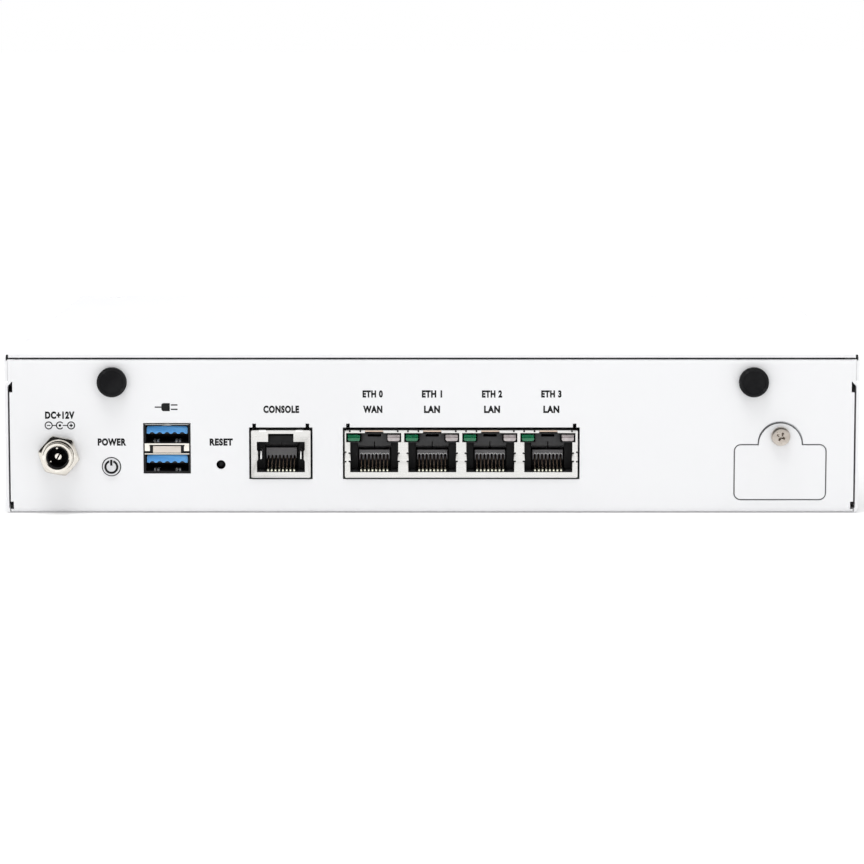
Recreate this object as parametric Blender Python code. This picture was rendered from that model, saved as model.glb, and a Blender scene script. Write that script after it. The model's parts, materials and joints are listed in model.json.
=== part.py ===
"""Desktop firewall appliance: a bent sheet-metal tray and its lift-off cover around one main board.

The origin is the centre of the underside. +X points right as one faces the port panel, the port panel
faces -Y, and +Z is up. Lengths are in metres; MM turns millimetres into metres.
"""

from math import cos, pi, radians, sin, tan

import bmesh
import bpy
from mathutils import Matrix, Vector

MM = 0.001
GAP = 0.3 * MM  # clearance between neighbouring pieces
PAST = 1 * MM  # how far a cutter runs past the face that it cuts

# Case
CASE_WIDTH = 232 * MM
CASE_DEPTH = 200 * MM
CASE_HEIGHT = 43.2 * MM
SHEET = 0.8 * MM
BEND_RADIUS = 0.7 * MM  # inside radius of each bend
BEND_STEPS = 5
COVER_FLANGE = 7.2 * MM  # height of the cover's two sides
COVER_GAP = 0.5 * MM  # between the cover and the tray's top flanges
SIDE_GAP = 0.25 * MM  # between a cover side and the tray wall inside it
TOP_FLANGE = 12 * MM  # width of the flanges at the top of the rear and front panels
PANEL_GAP = 0.5 * MM  # between a panel's edge and the side wall
JOGGLE = (34.9 * MM, 35.7 * MM)  # heights at which a side wall steps in under the cover's side
SIDE, REAR, FRONT = CASE_WIDTH / 2, -CASE_DEPTH / 2, CASE_DEPTH / 2
TRAY_TOP = CASE_HEIGHT - SHEET - COVER_GAP
INNER_REAR, INNER_FRONT = REAR + SHEET, FRONT - SHEET
PANEL_HALF = SIDE - SHEET - PANEL_GAP
PANEL_HALF_TOP = SIDE - 2 * SHEET - 2 * SIDE_GAP
RELIEF_LOW = (0.9 * MM, 3.0 * MM)  # heights of the lower notch in each panel edge
RELIEF_HIGH = 32.9 * MM  # where a panel narrows below the step of the walls
CORNER_RELIEF = 2.4 * MM  # how far the bends of panels and walls keep apart at a corner
COVER_RELIEF = (0.7 * MM, 1.4 * MM)  # width and depth of the slit at each corner of the cover

# Vent slots in the side walls
VENT_COUNT, VENT_PITCH = 14, 6 * MM
VENT_WIDTH, VENT_ROUND, VENT_Z = 2.2 * MM, 1.09 * MM, (13 * MM, 28 * MM)

# Screws
SCREW_SHANK, SCREW_HOLE = 1.35 * MM, 1.7 * MM  # radii
FLAT_HEAD, FLAT_NECK = 2.8 * MM, 1.5 * MM
PAN_HEAD, PAN_TOP, PAN_HEIGHT = 2.575 * MM, 1.8 * MM, 1.6 * MM
COVER_SCREW_X, COVER_SCREW_Y, COVER_SCREW_LENGTH = 102 * MM, 93.5 * MM, 5 * MM

# Plugs in the two antenna holes
ANTENNA_X, ANTENNA_Z = (-86.8 * MM, 87.25 * MM), 35.8 * MM
PLUG_HEAD, PLUG_STEM, ANTENNA_HOLE = 4.05 * MM, 2.9 * MM, 3.25 * MM  # radii
PLUG_HEIGHT, PLUG_CHAMFER, PLUG_BACK = 2 * MM, 0.6 * MM, 2.6 * MM

# Power inlet
DC_X, DC_Z = -101.35 * MM, 15.75 * MM
DC_BARREL, DC_BORE, DC_BODY, DC_PIN = 4.1 * MM, 3.025 * MM, 5.5 * MM, 1.0 * MM  # radii
DC_FRONT, DC_BORE_DEPTH, DC_PIN_RECESS, DC_BACK = 5.5 * MM, 12.5 * MM, 2.6 * MM, 13 * MM
DC_NUT, DC_NUT_HEIGHT, DC_PIN_TIP = 5.8 * MM, 2.2 * MM, 0.5 * MM
LEAD_RADIUS, LEAD_SPREAD = 0.8 * MM, 1.6 * MM
DC_HEADER_Y, DC_HEADER_SIZE = -66 * MM, (9 * MM, 6 * MM, 6.4 * MM)

# Push buttons and the switches behind them
POWER_X, POWER_Z, POWER_HOLE, POWER_CAP = -87.2 * MM, 12.6 * MM, 2.65 * MM, 2.35 * MM
RESET_X, RESET_Z, RESET_HOLE, RESET_CAP = -57.4 * MM, 13.15 * MM, 1.25 * MM, 0.95 * MM
POWER_PROUD, RESET_SUNK = 0.6 * MM, 1.2 * MM
POWER_TRAVEL, RESET_TRAVEL, CAP_CHAMFER = 0.8 * MM, 0.4 * MM, 0.2 * MM
SWITCH_FRONT, SWITCH_SIZE = -92.3 * MM, 6 * MM

# Main board
BOARD_X, BOARD_Y = 109 * MM, (-97.5 * MM, 55 * MM)
BOARD_Z = (7.7 * MM, 9.3 * MM)
ON_BOARD = BOARD_Z[1] + GAP
BOARD_SCREWS = [(-93 * MM, -78 * MM), (104 * MM, -76 * MM), (-104 * MM, 48 * MM), (104 * MM, 48 * MM)]
STANDOFF = 3 * MM

# Port blocks, which stand proud of the panel
PORT_PROUD = 0.4 * MM
SHIELD = 0.3 * MM
CUTOUT_MARGIN = 0.55 * MM
PORT_Z, CUTOUT_Z = (9.6 * MM, 22.6 * MM), (9.15 * MM, 23.35 * MM)
CUTOUT_NOTCH, NOTCH_INSET = (1.0 * MM, 1.05 * MM), 0.9 * MM
MOUTH_HALF, MOUTH_Z = 6.45 * MM, (11.3 * MM, 19.35 * MM)
LATCH_HALF, LATCH_TOP = 3.45 * MM, 21.5 * MM
MOUTH_DEPTH = 13 * MM
CONSOLE_X, CONSOLE_WIDTH, CONSOLE_DEPTH = -41.1 * MM, 16.15 * MM, 16 * MM
LAN_X, LAN_WIDTH, LAN_DEPTH = 7.95 * MM, 63.3 * MM, 24 * MM
LAN_PITCH, LAN_PORTS = 15.78 * MM, 4
INSERT_HALF = 7.65 * MM
LAMP_X, LAMP_Z, LAMP_DEPTH = (3.7 * MM, 7.35 * MM), (19.5 * MM, 21.5 * MM), 7 * MM
USB_X, USB_WIDTH, USB_Z, USB_DEPTH = -72.05 * MM, 12.3 * MM, (11.0 * MM, 24.25 * MM), 17.5 * MM
USB_MOUTHS = {"lower": (11.3 * MM, 16.0 * MM), "upper": (19.2 * MM, 23.95 * MM)}
USB_MOUTH_DEPTH, TONGUE_SUNK = 15.5 * MM, 1.2 * MM
TONGUE_HALF, TONGUE_THICKNESS, TONGUE_DROP = 5.55 * MM, 2.0 * MM, 0.4 * MM

# Service hatch
HATCH_X, HATCH_HALF, HATCH_Z = 94.7 * MM, 12.3 * MM, (3.7 * MM, 18.45 * MM)
HATCH_CORNER, HATCH_TAB, HATCH_TAB_Z = 1.6 * MM, 5.85 * MM, 18.55 * MM
HATCH_SEAM = 0.35 * MM
HATCH_SCREW_Z, HATCH_SCREW_LENGTH = 21 * MM, 6 * MM
BRACKET_HALF, BRACKET_Z = 14.5 * MM, (2.4 * MM, 27 * MM)
BRACKET_MOUTH_HALF, BRACKET_MOUTH_Z = 9.6 * MM, (5.2 * MM, 17 * MM)
CARD_READER, CARD_SLOT = (16 * MM, 15 * MM, 2.6 * MM), (13.2 * MM, 13 * MM, 1.2 * MM)

# Parts on the board: centre x, centre y, and the sides along x and y
CPU, CPU_HEIGHT = (10 * MM, -30 * MM, 25 * MM, 25 * MM), 2 * MM
SINK_SIDE, SINK_BASE, SINK_TOP, SINK_FINS, FIN_THICKNESS = 70 * MM, 4 * MM, 37 * MM, 12, 1.5 * MM
MEMORY = (-62.2 * MM, -40 * MM, 67.6 * MM, 30 * MM)
MEMORY_Z, MEMORY_THICKNESS = 13 * MM, 1.0 * MM
SSD = (66 * MM, 0.4 * MM, 22 * MM, 80 * MM)
SSD_Z, SSD_THICKNESS = 12.6 * MM, 0.8 * MM
SSD_CHIP_COUNT, SSD_CHIPS, SSD_MARGIN = 3, 1.4 * MM, 2 * MM
SOCKET_DEPTH, SOCKET_GRIP, SOCKET_ABOVE, LATCH_ARM = 6 * MM, 3 * MM, 0.8 * MM, 1.5 * MM
CELL_X, CELL_Y, CELL_RADIUS, CELL_HEIGHT = 91 * MM, 0 * MM, 10 * MM, 3.2 * MM
HOLDER_SIDE, HOLDER_HEIGHT, HOLDER_FLOOR = 23.5 * MM, 4.6 * MM, 0.8 * MM

# Light guide behind the front panel
GUIDE_X, GUIDE_PITCH, GUIDE_Z, GUIDE_STUB = -88 * MM, 7 * MM, 21 * MM, 1.2 * MM
GUIDE_SIZE = (20 * MM, 6 * MM, 6 * MM)

# Name: (colour, roughness, metallic)
FINISHES = {
    "white_powder_coat": ((0.84, 0.85, 0.87), 0.45, 0.0),
    "black_rubber": ((0.016, 0.016, 0.018), 0.7, 0.0),
    "bright_nickel": ((0.74, 0.72, 0.69), 0.18, 1.0),
    "warm_nickel": ((0.62, 0.53, 0.46), 0.3, 1.0),
    "tinned_steel": ((0.6, 0.6, 0.59), 0.32, 1.0),
    "zinc_steel": ((0.55, 0.56, 0.58), 0.35, 1.0),
    "blue_plastic": ((0.012, 0.16, 0.68), 0.4, 0.0),
    "black_plastic": ((0.02, 0.02, 0.022), 0.5, 0.0),
    "grey_plastic": ((0.5, 0.51, 0.52), 0.45, 0.0),
    "green_lens": ((0.01, 0.2, 0.08), 0.25, 0.0),
    "clear_lens": ((0.62, 0.55, 0.55), 0.25, 0.0),
    "green_board": ((0.01, 0.09, 0.035), 0.4, 0.0),
    "chip_black": ((0.025, 0.025, 0.027), 0.45, 0.0),
    "brushed_aluminium": ((0.66, 0.67, 0.69), 0.4, 1.0),
    "brass": ((0.6, 0.42, 0.18), 0.35, 1.0),
    "red_insulation": ((0.5, 0.02, 0.015), 0.5, 0.0),
}
AXES = {"X": Vector((1, 0, 0)), "Y": Vector((0, 1, 0)), "Z": Vector((0, 0, 1))}
ROUND_STEPS = 32  # sides of a full circle on outer faces
SMALL_STEPS = 20  # sides of a full circle on small or hidden pieces
CORNER_STEPS = 5  # sides of each rounded corner of the hatch
TAB_STEPS = 16  # sides of the round end of its tab
WELD = 1e-7
SHARP = radians(35)


def clear_scene():
    for obj in list(bpy.data.objects):
        bpy.data.objects.remove(obj)


def finish(name):
    """The material of this name, made the first time that it is asked for."""
    found = bpy.data.materials.get(name)
    if found:
        return found
    colour, roughness, metallic = FINISHES[name]
    made = bpy.data.materials.new(name)
    made.use_nodes = True
    shader = made.node_tree.nodes["Principled BSDF"].inputs
    shader["Base Color"].default_value = (*colour, 1)
    shader["Roughness"].default_value = roughness
    shader["Metallic"].default_value = metallic
    made.diffuse_color = (*colour, 1)
    return made


# ---- outlines ------------------------------------------------------------------------------------------


def arc(x, y, radius, start, end, steps):
    """Points on a circle from angle start to angle end, both included."""
    angles = [start + (end - start) * i / steps for i in range(steps + 1)]
    return [(x + radius * cos(a), y + radius * sin(a)) for a in angles]


def circle(x, y, radius, steps=ROUND_STEPS):
    return arc(x, y, radius, 0, 2 * pi, steps)[:-1]


def rectangle(x0, x1, y0, y1):
    return [(x0, y0), (x1, y0), (x1, y1), (x0, y1)]


def rounded_rectangle(x0, x1, y0, y1, radius, steps=4):
    corners = [(x1, y0), (x1, y1), (x0, y1), (x0, y0)]
    points = []
    for turn, (x, y) in enumerate(corners):
        centre_x = x - radius if x == x1 else x + radius
        centre_y = y - radius if y == y1 else y + radius
        start = (turn - 1) * pi / 2
        points += arc(centre_x, centre_y, radius, start, start + pi / 2, steps)
    return points


def bent_sheet(path):
    """Outline of a sheet whose middle follows path, with each corner bent at BEND_RADIUS."""
    radius = BEND_RADIUS + SHEET / 2
    points = [Vector(p) for p in path]
    stations = []
    for before, corner, after in zip(points, points[1:], points[2:]):
        arriving, leaving = (corner - before).normalized(), (after - corner).normalized()
        turn = arriving.angle_signed(leaving) * -1
        side = Vector((-arriving.y, arriving.x)) * (1 if turn > 0 else -1)
        start = corner - arriving * radius * tan(abs(turn) / 2)
        centre = start + side * radius
        for i in range(BEND_STEPS + 1):
            rotation = Matrix.Rotation(turn * i / BEND_STEPS, 2)
            normal = rotation @ Vector((-arriving.y, arriving.x))
            stations.append((centre + rotation @ (start - centre), normal))
    first, last = (points[1] - points[0]).normalized(), (points[-1] - points[-2]).normalized()
    stations.insert(0, (points[0], Vector((-first.y, first.x))))
    stations.append((points[-1], Vector((-last.y, last.x))))
    left = [tuple(p + n * SHEET / 2) for p, n in stations]
    right = [tuple(p - n * SHEET / 2) for p, n in stations]
    return left + right[::-1]


def hatch_outline(grow):
    """Hatch shape in x and z, grown by this much all round: a rounded plate with a round tab on top."""
    x0, x1 = HATCH_X - HATCH_HALF - grow, HATCH_X + HATCH_HALF + grow
    z0, z1 = HATCH_Z[0] - grow, HATCH_Z[1] + grow
    radius, tab = HATCH_CORNER + grow, HATCH_TAB + grow
    points = arc(x0 + radius, z0 + radius, radius, pi, 1.5 * pi, CORNER_STEPS)
    points += arc(x1 - radius, z0 + radius, radius, -0.5 * pi, 0, CORNER_STEPS)
    points += arc(x1 - radius, z1 - radius, radius, 0, 0.5 * pi, CORNER_STEPS)
    points += [(HATCH_X + tab, z1)]
    points += arc(HATCH_X, HATCH_TAB_Z + grow, tab, 0, pi, TAB_STEPS)
    points += [(HATCH_X - tab, z1)]
    points += arc(x0 + radius, z1 - radius, radius, 0.5 * pi, pi, CORNER_STEPS)
    return points


# ---- solids --------------------------------------------------------------------------------------------


def sweep(bm, outline, axis, start, end):
    """Adds outline, drawn across axis, swept along it. Its coordinates keep the order x, y, z."""
    place = {"X": lambda p: (start, *p), "Y": lambda p: (p[0], start, p[1]), "Z": lambda p: (*p, start)}
    face = bm.faces.new([bm.verts.new(place[axis](point)) for point in outline])
    grown = bmesh.ops.extrude_face_region(bm, geom=[face])["geom"]
    moved = [v for v in grown if isinstance(v, bmesh.types.BMVert)]
    bmesh.ops.translate(bm, vec=AXES[axis] * (end - start), verts=moved)


def box(bm, x, y, z):
    """Adds a block between the two limits given on each axis."""
    sweep(bm, rectangle(*x, *y), "Z", *z)


def turn(bm, profile, axis, centre, steps=ROUND_STEPS):
    """Adds the solid that profile, as (radius, place along axis), makes when turned about axis."""
    centre, along = Vector(centre), AXES[axis]
    out = AXES["X"]
    verts = [bm.verts.new(centre + out * radius + along * place) for radius, place in profile]
    edges = [bm.edges.new(pair) for pair in zip(verts, verts[1:] + verts[:1])]
    on_axis = [e for e in edges if all((v.co - centre).cross(along).length < WELD for v in e.verts)]
    for edge in on_axis:
        bm.edges.remove(edge)
        edges.remove(edge)
    bmesh.ops.spin(
        bm, geom=verts + edges, cent=centre, axis=along, angle=2 * pi, steps=steps, use_merge=True
    )
    bmesh.ops.remove_doubles(bm, verts=bm.verts[:], dist=WELD)


def make(name, bm, material, origin=(0, 0, 0), parent=None):
    """Object of this mesh, with its origin at origin and its faces pointing out."""
    origin = Vector(origin)
    bmesh.ops.translate(bm, vec=-origin, verts=bm.verts[:])
    bmesh.ops.recalc_face_normals(bm, faces=bm.faces[:])
    mesh = bpy.data.meshes.new(name)
    bm.to_mesh(mesh)
    bm.free()
    mesh.materials.append(finish(material))
    mesh.shade_smooth()
    mesh.set_sharp_from_angle(angle=SHARP)
    obj = bpy.data.objects.new(name, mesh)
    obj.location = origin
    bpy.context.scene.collection.objects.link(obj)
    if parent:
        obj.parent = parent
        obj.matrix_parent_inverse = Matrix.Translation(parent.location).inverted()
    return obj


def boolean(obj, tool_name, bm, operation="DIFFERENCE", solver="EXACT"):
    """Cuts bm out of obj, or joins it on. Returns the hidden tool object."""
    tool = make(tool_name, bm, "zinc_steel")
    tool.hide_render = True
    tool.display_type = "WIRE"
    modifier = obj.modifiers.new(tool_name, "BOOLEAN")
    modifier.operation = operation
    modifier.solver = solver
    modifier.object = tool
    return tool


# ---- case ----------------------------------------------------------------------------------------------


def panels_outline():
    """Rear flange, rear panel, bottom, front panel and front flange, in y and z."""
    wall, low, high = FRONT - SHEET / 2, SHEET / 2, TRAY_TOP - SHEET / 2
    lip = FRONT - TOP_FLANGE
    return bent_sheet([(-lip, high), (-wall, high), (-wall, low), (wall, low), (wall, high), (lip, high)])


def walls_outline():
    """Both side walls, with their step under the cover's sides, and the bottom, in x and z."""
    outer, low = SIDE - SHEET / 2, SHEET / 2
    inner = outer - SHEET - SIDE_GAP
    right = [(outer, low), (outer, JOGGLE[0]), (inner, JOGGLE[1]), (inner, TRAY_TOP)]
    left = [(-x, z) for x, z in reversed(right)]
    return bent_sheet(left + right)


def panel_trims():
    """Takes back the panels' edges beside the stepped walls and cuts their lower relief notches."""
    bm = bmesh.new()
    for side in (-1, 1):
        x = sorted((side * PANEL_HALF_TOP, side * SIDE))
        box(bm, x, (REAR - PAST, FRONT + PAST), (RELIEF_HIGH, CASE_HEIGHT))
        for end in (-1, 1):
            y = sorted((end * (FRONT + PAST), end * (FRONT - CORNER_RELIEF)))
            box(bm, x, y, RELIEF_LOW)
    return bm


def wall_trims():
    """Leaves of the walls' bottom only a lip at each side, and none of it beside the panels' bends."""
    lip, corner, end = PANEL_HALF - 2 * CORNER_RELIEF, SIDE - SHEET - SIDE_GAP, FRONT - CORNER_RELIEF
    quarter = [(corner, -FRONT - PAST), (corner, -end), (lip, -end)]
    right = quarter + [(x, -y) for x, y in reversed(quarter)]
    bm = bmesh.new()
    sweep(bm, right + [(-x, y) for x, y in reversed(right)], "Z", -PAST, RELIEF_LOW[1])
    return bm


def port_cutout(bm, centre, width):
    """Opening for a block of modular jacks, with the two small notches in its top edge."""
    half = width / 2 + CUTOUT_MARGIN
    low, high = CUTOUT_Z
    notch = high + CUTOUT_NOTCH[1]
    outline = [(centre - half, low), (centre + half, low)]
    for side in (1, -1):
        outer = half - NOTCH_INSET
        edges = (outer, outer - CUTOUT_NOTCH[0])
        near, far = edges if side > 0 else edges[::-1]
        outline += [(centre + side * half, high)] if side > 0 else []
        outline += [(centre + side * near, high), (centre + side * near, notch)]
        outline += [(centre + side * far, notch), (centre + side * far, high)]
        outline += [(centre + side * half, high)] if side < 0 else []
    sweep(bm, outline, "Y", REAR - PAST, INNER_REAR + PAST)


def rear_openings():
    bm = bmesh.new()
    holes = [
        (ANTENNA_X[0], ANTENNA_Z, ANTENNA_HOLE),
        (ANTENNA_X[1], ANTENNA_Z, ANTENNA_HOLE),
        (DC_X, DC_Z, DC_BARREL + GAP),
        (POWER_X, POWER_Z, POWER_HOLE),
        (RESET_X, RESET_Z, RESET_HOLE),
    ]
    for x, z, radius in holes:
        sweep(bm, circle(x, z, radius), "Y", REAR - PAST, INNER_REAR + PAST)
    port_cutout(bm, CONSOLE_X, CONSOLE_WIDTH)
    port_cutout(bm, LAN_X, LAN_WIDTH)
    half = USB_WIDTH / 2 + GAP
    usb = rectangle(USB_X - half, USB_X + half, USB_Z[0] - GAP, USB_Z[1] + GAP)
    sweep(bm, usb, "Y", REAR - PAST, INNER_REAR + PAST)
    sweep(bm, hatch_outline(HATCH_SEAM), "Y", REAR - PAST, INNER_REAR + PAST)
    return bm


def other_openings():
    """Vent slots in the walls, lamp holes in the front panel and screw holes in the top flanges."""
    bm = bmesh.new()
    for i in range(VENT_COUNT):
        y = (i - (VENT_COUNT - 1) / 2) * VENT_PITCH
        slot = rounded_rectangle(y - VENT_WIDTH / 2, y + VENT_WIDTH / 2, *VENT_Z, VENT_ROUND, 3)
        for side in (-1, 1):
            ends = sorted((side * (SIDE - SHEET - PAST), side * (SIDE + PAST)))
            sweep(bm, slot, "X", *ends)
    for i in (-1, 0, 1):
        hole = circle(GUIDE_X + i * GUIDE_PITCH, GUIDE_Z, GUIDE_STUB + GAP, SMALL_STEPS)
        sweep(bm, hole, "Y", INNER_FRONT - PAST, FRONT + PAST)
    for x, y in cover_screw_places():
        sweep(bm, circle(x, y, SCREW_HOLE, SMALL_STEPS), "Z", TRAY_TOP - SHEET - PAST, TRAY_TOP + PAST)
    return bm


def base_tray():
    bm = bmesh.new()
    sweep(bm, panels_outline(), "X", -PANEL_HALF, PANEL_HALF)
    tray = make("base_tray", bm, "white_powder_coat")
    boolean(tray, "panel_trims", panel_trims())
    walls = bmesh.new()
    sweep(walls, walls_outline(), "Y", REAR, FRONT)
    # The lips of the walls lie in the plane of the bottom, where EXACT leaves edges open.
    joined = boolean(tray, "side_walls", walls, "UNION", "MANIFOLD")
    boolean(joined, "wall_trims", wall_trims())
    boolean(tray, "rear_openings", rear_openings())
    boolean(tray, "other_openings", other_openings())
    return tray


def cover_screw_places():
    return [(x * COVER_SCREW_X, y * COVER_SCREW_Y) for y in (-1, 1) for x in (-1, 1)]


def top_cover():
    """Flat top with two short sides, countersunk for its four screws."""
    bm = bmesh.new()
    outer, low, high = SIDE - SHEET / 2, CASE_HEIGHT - COVER_FLANGE, CASE_HEIGHT - SHEET / 2
    outline = bent_sheet([(-outer, low), (-outer, high), (outer, high), (outer, low)])
    sweep(bm, outline, "Y", REAR, FRONT)
    origin = (0, 0, CASE_HEIGHT)
    cover = make("top_cover", bm, "white_powder_coat", origin)
    holes = bmesh.new()
    rim = FLAT_HEAD + GAP
    for x, y in cover_screw_places():
        profile = [(0, -2 * SHEET), (rim - 2 * SHEET, -2 * SHEET), (rim + SHEET, SHEET), (0, SHEET)]
        turn(holes, profile, "Z", (x, y, CASE_HEIGHT), SMALL_STEPS)
    slit, depth = COVER_RELIEF
    for x_side in (-1, 1):
        x = sorted((x_side * (SIDE - SHEET / 2 - slit), x_side * (SIDE - SHEET / 2)))
        for y_end in (-1, 1):
            y = sorted((y_end * (FRONT + PAST), y_end * (FRONT - depth)))
            box(holes, x, y, (CASE_HEIGHT - 2 * SHEET, CASE_HEIGHT + PAST))
    boolean(cover, "cover_openings", holes)
    for number, (x, y) in enumerate(cover_screw_places(), 1):
        flat_screw(f"cover_screw_{number}", (x, y, CASE_HEIGHT), cover)
    return cover


def flat_screw(name, top, parent):
    """Countersunk screw with its head's face at top."""
    bm = bmesh.new()
    neck = FLAT_NECK - FLAT_HEAD
    profile = [(0, 0), (FLAT_HEAD, 0), (FLAT_NECK, neck), (SCREW_SHANK, neck - SHEET / 2)]
    profile += [(SCREW_SHANK, -COVER_SCREW_LENGTH), (0, -COVER_SCREW_LENGTH)]
    turn(bm, profile, "Z", top, SMALL_STEPS)
    make(name, bm, "white_powder_coat", top, parent)


# ---- pieces on the rear panel --------------------------------------------------------------------------


def antenna_plug(name, x):
    bm = bmesh.new()
    top = -GAP - PLUG_HEIGHT + PLUG_CHAMFER
    profile = [(0, -GAP - PLUG_HEIGHT), (PLUG_HEAD - PLUG_CHAMFER, -GAP - PLUG_HEIGHT), (PLUG_HEAD, top)]
    profile += [(PLUG_HEAD, -GAP), (PLUG_STEM, -GAP), (PLUG_STEM, PLUG_BACK), (0, PLUG_BACK)]
    turn(bm, profile, "Y", (x, REAR, ANTENNA_Z))
    make(name, bm, "black_rubber", (x, REAR, ANTENNA_Z))


def dc_inlet():
    """Panel jack with its outer nut and centre pin, and the two leads to a header on the board."""
    centre = (DC_X, REAR, DC_Z)
    floor = DC_BORE_DEPTH - DC_FRONT
    behind, back = SHEET + GAP, SHEET + GAP + DC_BACK
    bm = bmesh.new()
    profile = [(0, floor), (DC_BORE, floor), (DC_BORE, -DC_FRONT), (DC_BARREL, -DC_FRONT)]
    profile += [(DC_BARREL, behind), (DC_BODY, behind), (DC_BODY, back), (0, back)]
    turn(bm, profile, "Y", centre)
    body = make("dc_jack_body", bm, "bright_nickel", centre)

    bm = bmesh.new()
    sweep(bm, circle(DC_X, DC_Z, DC_NUT, 6), "Y", REAR - GAP - DC_NUT_HEIGHT, REAR - GAP)
    nut = make("dc_jack_nut", bm, "bright_nickel", centre, body)
    hole = bmesh.new()
    ends = (REAR - GAP - DC_NUT_HEIGHT - PAST, REAR - GAP + PAST / 2)
    sweep(hole, circle(DC_X, DC_Z, DC_BARREL + GAP), "Y", *ends)
    boolean(nut, "nut_hole", hole)

    bm = bmesh.new()
    tip = DC_PIN_RECESS - DC_FRONT
    pin = [(0, tip), (DC_PIN_TIP, tip), (DC_PIN, tip + DC_PIN_TIP), (DC_PIN, floor - GAP), (0, floor - GAP)]
    turn(bm, pin, "Y", centre, SMALL_STEPS)
    make("dc_jack_pin", bm, "bright_nickel", centre, body)

    width, depth, height = DC_HEADER_SIZE
    bm = bmesh.new()
    x, y = (DC_X - width / 2, DC_X + width / 2), (DC_HEADER_Y, DC_HEADER_Y + depth)
    box(bm, x, y, (ON_BOARD, ON_BOARD + height))
    make("dc_header", bm, "grey_plastic", (DC_X, DC_HEADER_Y, ON_BOARD))
    start, end = REAR + back + GAP, DC_HEADER_Y - GAP
    for name, side, material in (("positive", 1, "red_insulation"), ("negative", -1, "black_plastic")):
        x = DC_X + side * LEAD_SPREAD
        lead(f"dc_lead_{name}", (x, start, DC_Z), (x, end, ON_BOARD + height / 2), material)


def lead(name, start, end, material, points=10):
    """Insulated wire that leaves and arrives along y, easing from one height to the other."""
    curve = bpy.data.curves.new(name, "CURVE")
    curve.dimensions = "3D"
    curve.bevel_depth = LEAD_RADIUS
    curve.bevel_resolution = 2
    curve.use_fill_caps = True
    spline = curve.splines.new("POLY")
    spline.points.add(points - 1)
    for i, point in enumerate(spline.points):
        share = i / (points - 1)
        ease = (1 - cos(pi * share)) / 2
        place = Vector(start).lerp(Vector(end), share)
        place.z = start[2] + (end[2] - start[2]) * ease
        point.co = (*(place - Vector(start)), 1)
    curve.materials.append(finish(material))
    obj = bpy.data.objects.new(name, curve)
    obj.location = start
    bpy.context.scene.collection.objects.link(obj)


def push_button(name, x, z, radius, front, travel, material):
    """Cap on its slide axis, and the switch that it presses."""
    bm = bmesh.new()
    back = SWITCH_FRONT - GAP - travel - REAR
    rim, rounded = radius - CAP_CHAMFER, front + CAP_CHAMFER
    profile = [(0, front), (rim, front), (radius, rounded), (radius, back), (0, back)]
    turn(bm, profile, "Y", (x, REAR, z), SMALL_STEPS)
    make(f"{name}_button", bm, material, (x, REAR, z))
    bm = bmesh.new()
    half = SWITCH_SIZE / 2
    y = (SWITCH_FRONT, SWITCH_FRONT + SWITCH_SIZE)
    box(bm, (x - half, x + half), y, (ON_BOARD, ON_BOARD + SWITCH_SIZE))
    make(f"{name}_switch", bm, "black_plastic", (x, SWITCH_FRONT, ON_BOARD))


# ---- port blocks ---------------------------------------------------------------------------------------


def mouth_outline(x):
    """Opening of a modular jack: a wide mouth with a narrower latch recess above."""
    low, high = MOUTH_Z
    right = [(MOUTH_HALF, low), (MOUTH_HALF, high), (LATCH_HALF, high), (LATCH_HALF, LATCH_TOP)]
    return [(x + dx, z) for dx, z in right] + [(x - dx, z) for dx, z in reversed(right)]


def lamp_mouth_outline(x):
    """Opening of a jack with a lamp in each upper corner."""
    low, high = MOUTH_Z
    right = [(MOUTH_HALF, low), (MOUTH_HALF, high), (LAMP_X[1] + GAP / 2, high)]
    right += [(LAMP_X[1] + GAP / 2, LAMP_Z[1] + GAP / 2)]
    return [(x + dx, z) for dx, z in right] + [(x - dx, z) for dx, z in reversed(right)]


def shield(name, x, width, depth, mouths):
    """Sheet-metal can, open towards the board, with these outlines cut in its face."""
    front, half = REAR - PORT_PROUD, width / 2
    low, high = PORT_Z
    bm = bmesh.new()
    box(bm, (x - half, x + half), (front, front + depth), (low, high))
    can = make(name, bm, "tinned_steel", (x, front, low))
    hollow = bmesh.new()
    inner = (front + SHIELD, front + depth - SHIELD)
    box(hollow, (x - half + SHIELD, x + half - SHIELD), inner, (low - PAST, high - SHIELD))
    boolean(can, f"{name}_hollow", hollow)
    face = bmesh.new()
    for outline in mouths:
        sweep(face, outline, "Y", front - PAST, front + SHIELD + PAST / 2)
    boolean(can, f"{name}_face", face)
    return can


def jack_insert(name, x, half, depth, outline, parent, lamps=False):
    """Moulded socket inside a shield, with its blind mouth."""
    front = REAR - PORT_PROUD + SHIELD + GAP
    bm = bmesh.new()
    top = PORT_Z[1] - SHIELD - GAP
    back = REAR - PORT_PROUD + depth - SHIELD - GAP
    box(bm, (x - half, x + half), (front, back), (PORT_Z[0] + GAP, top))
    insert = make(name, bm, "black_plastic", (x, front, PORT_Z[0]), parent)
    mouth = bmesh.new()
    sweep(mouth, outline, "Y", front - PAST, front + MOUTH_DEPTH)
    boolean(insert, f"{name}_mouth", mouth)
    if lamps:
        corners = bmesh.new()
        y = (front - PAST, front + LAMP_DEPTH + GAP)
        box(corners, (x - half - PAST, x + half + PAST), y, (MOUTH_Z[1], top + PAST))
        boolean(insert, f"{name}_corners", corners)
    return insert


def console_port():
    can = shield("console_shield", CONSOLE_X, CONSOLE_WIDTH, CONSOLE_DEPTH, [mouth_outline(CONSOLE_X)])
    half = CONSOLE_WIDTH / 2 - SHIELD - GAP
    jack_insert("console_socket", CONSOLE_X, half, CONSOLE_DEPTH, mouth_outline(CONSOLE_X), can)


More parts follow.
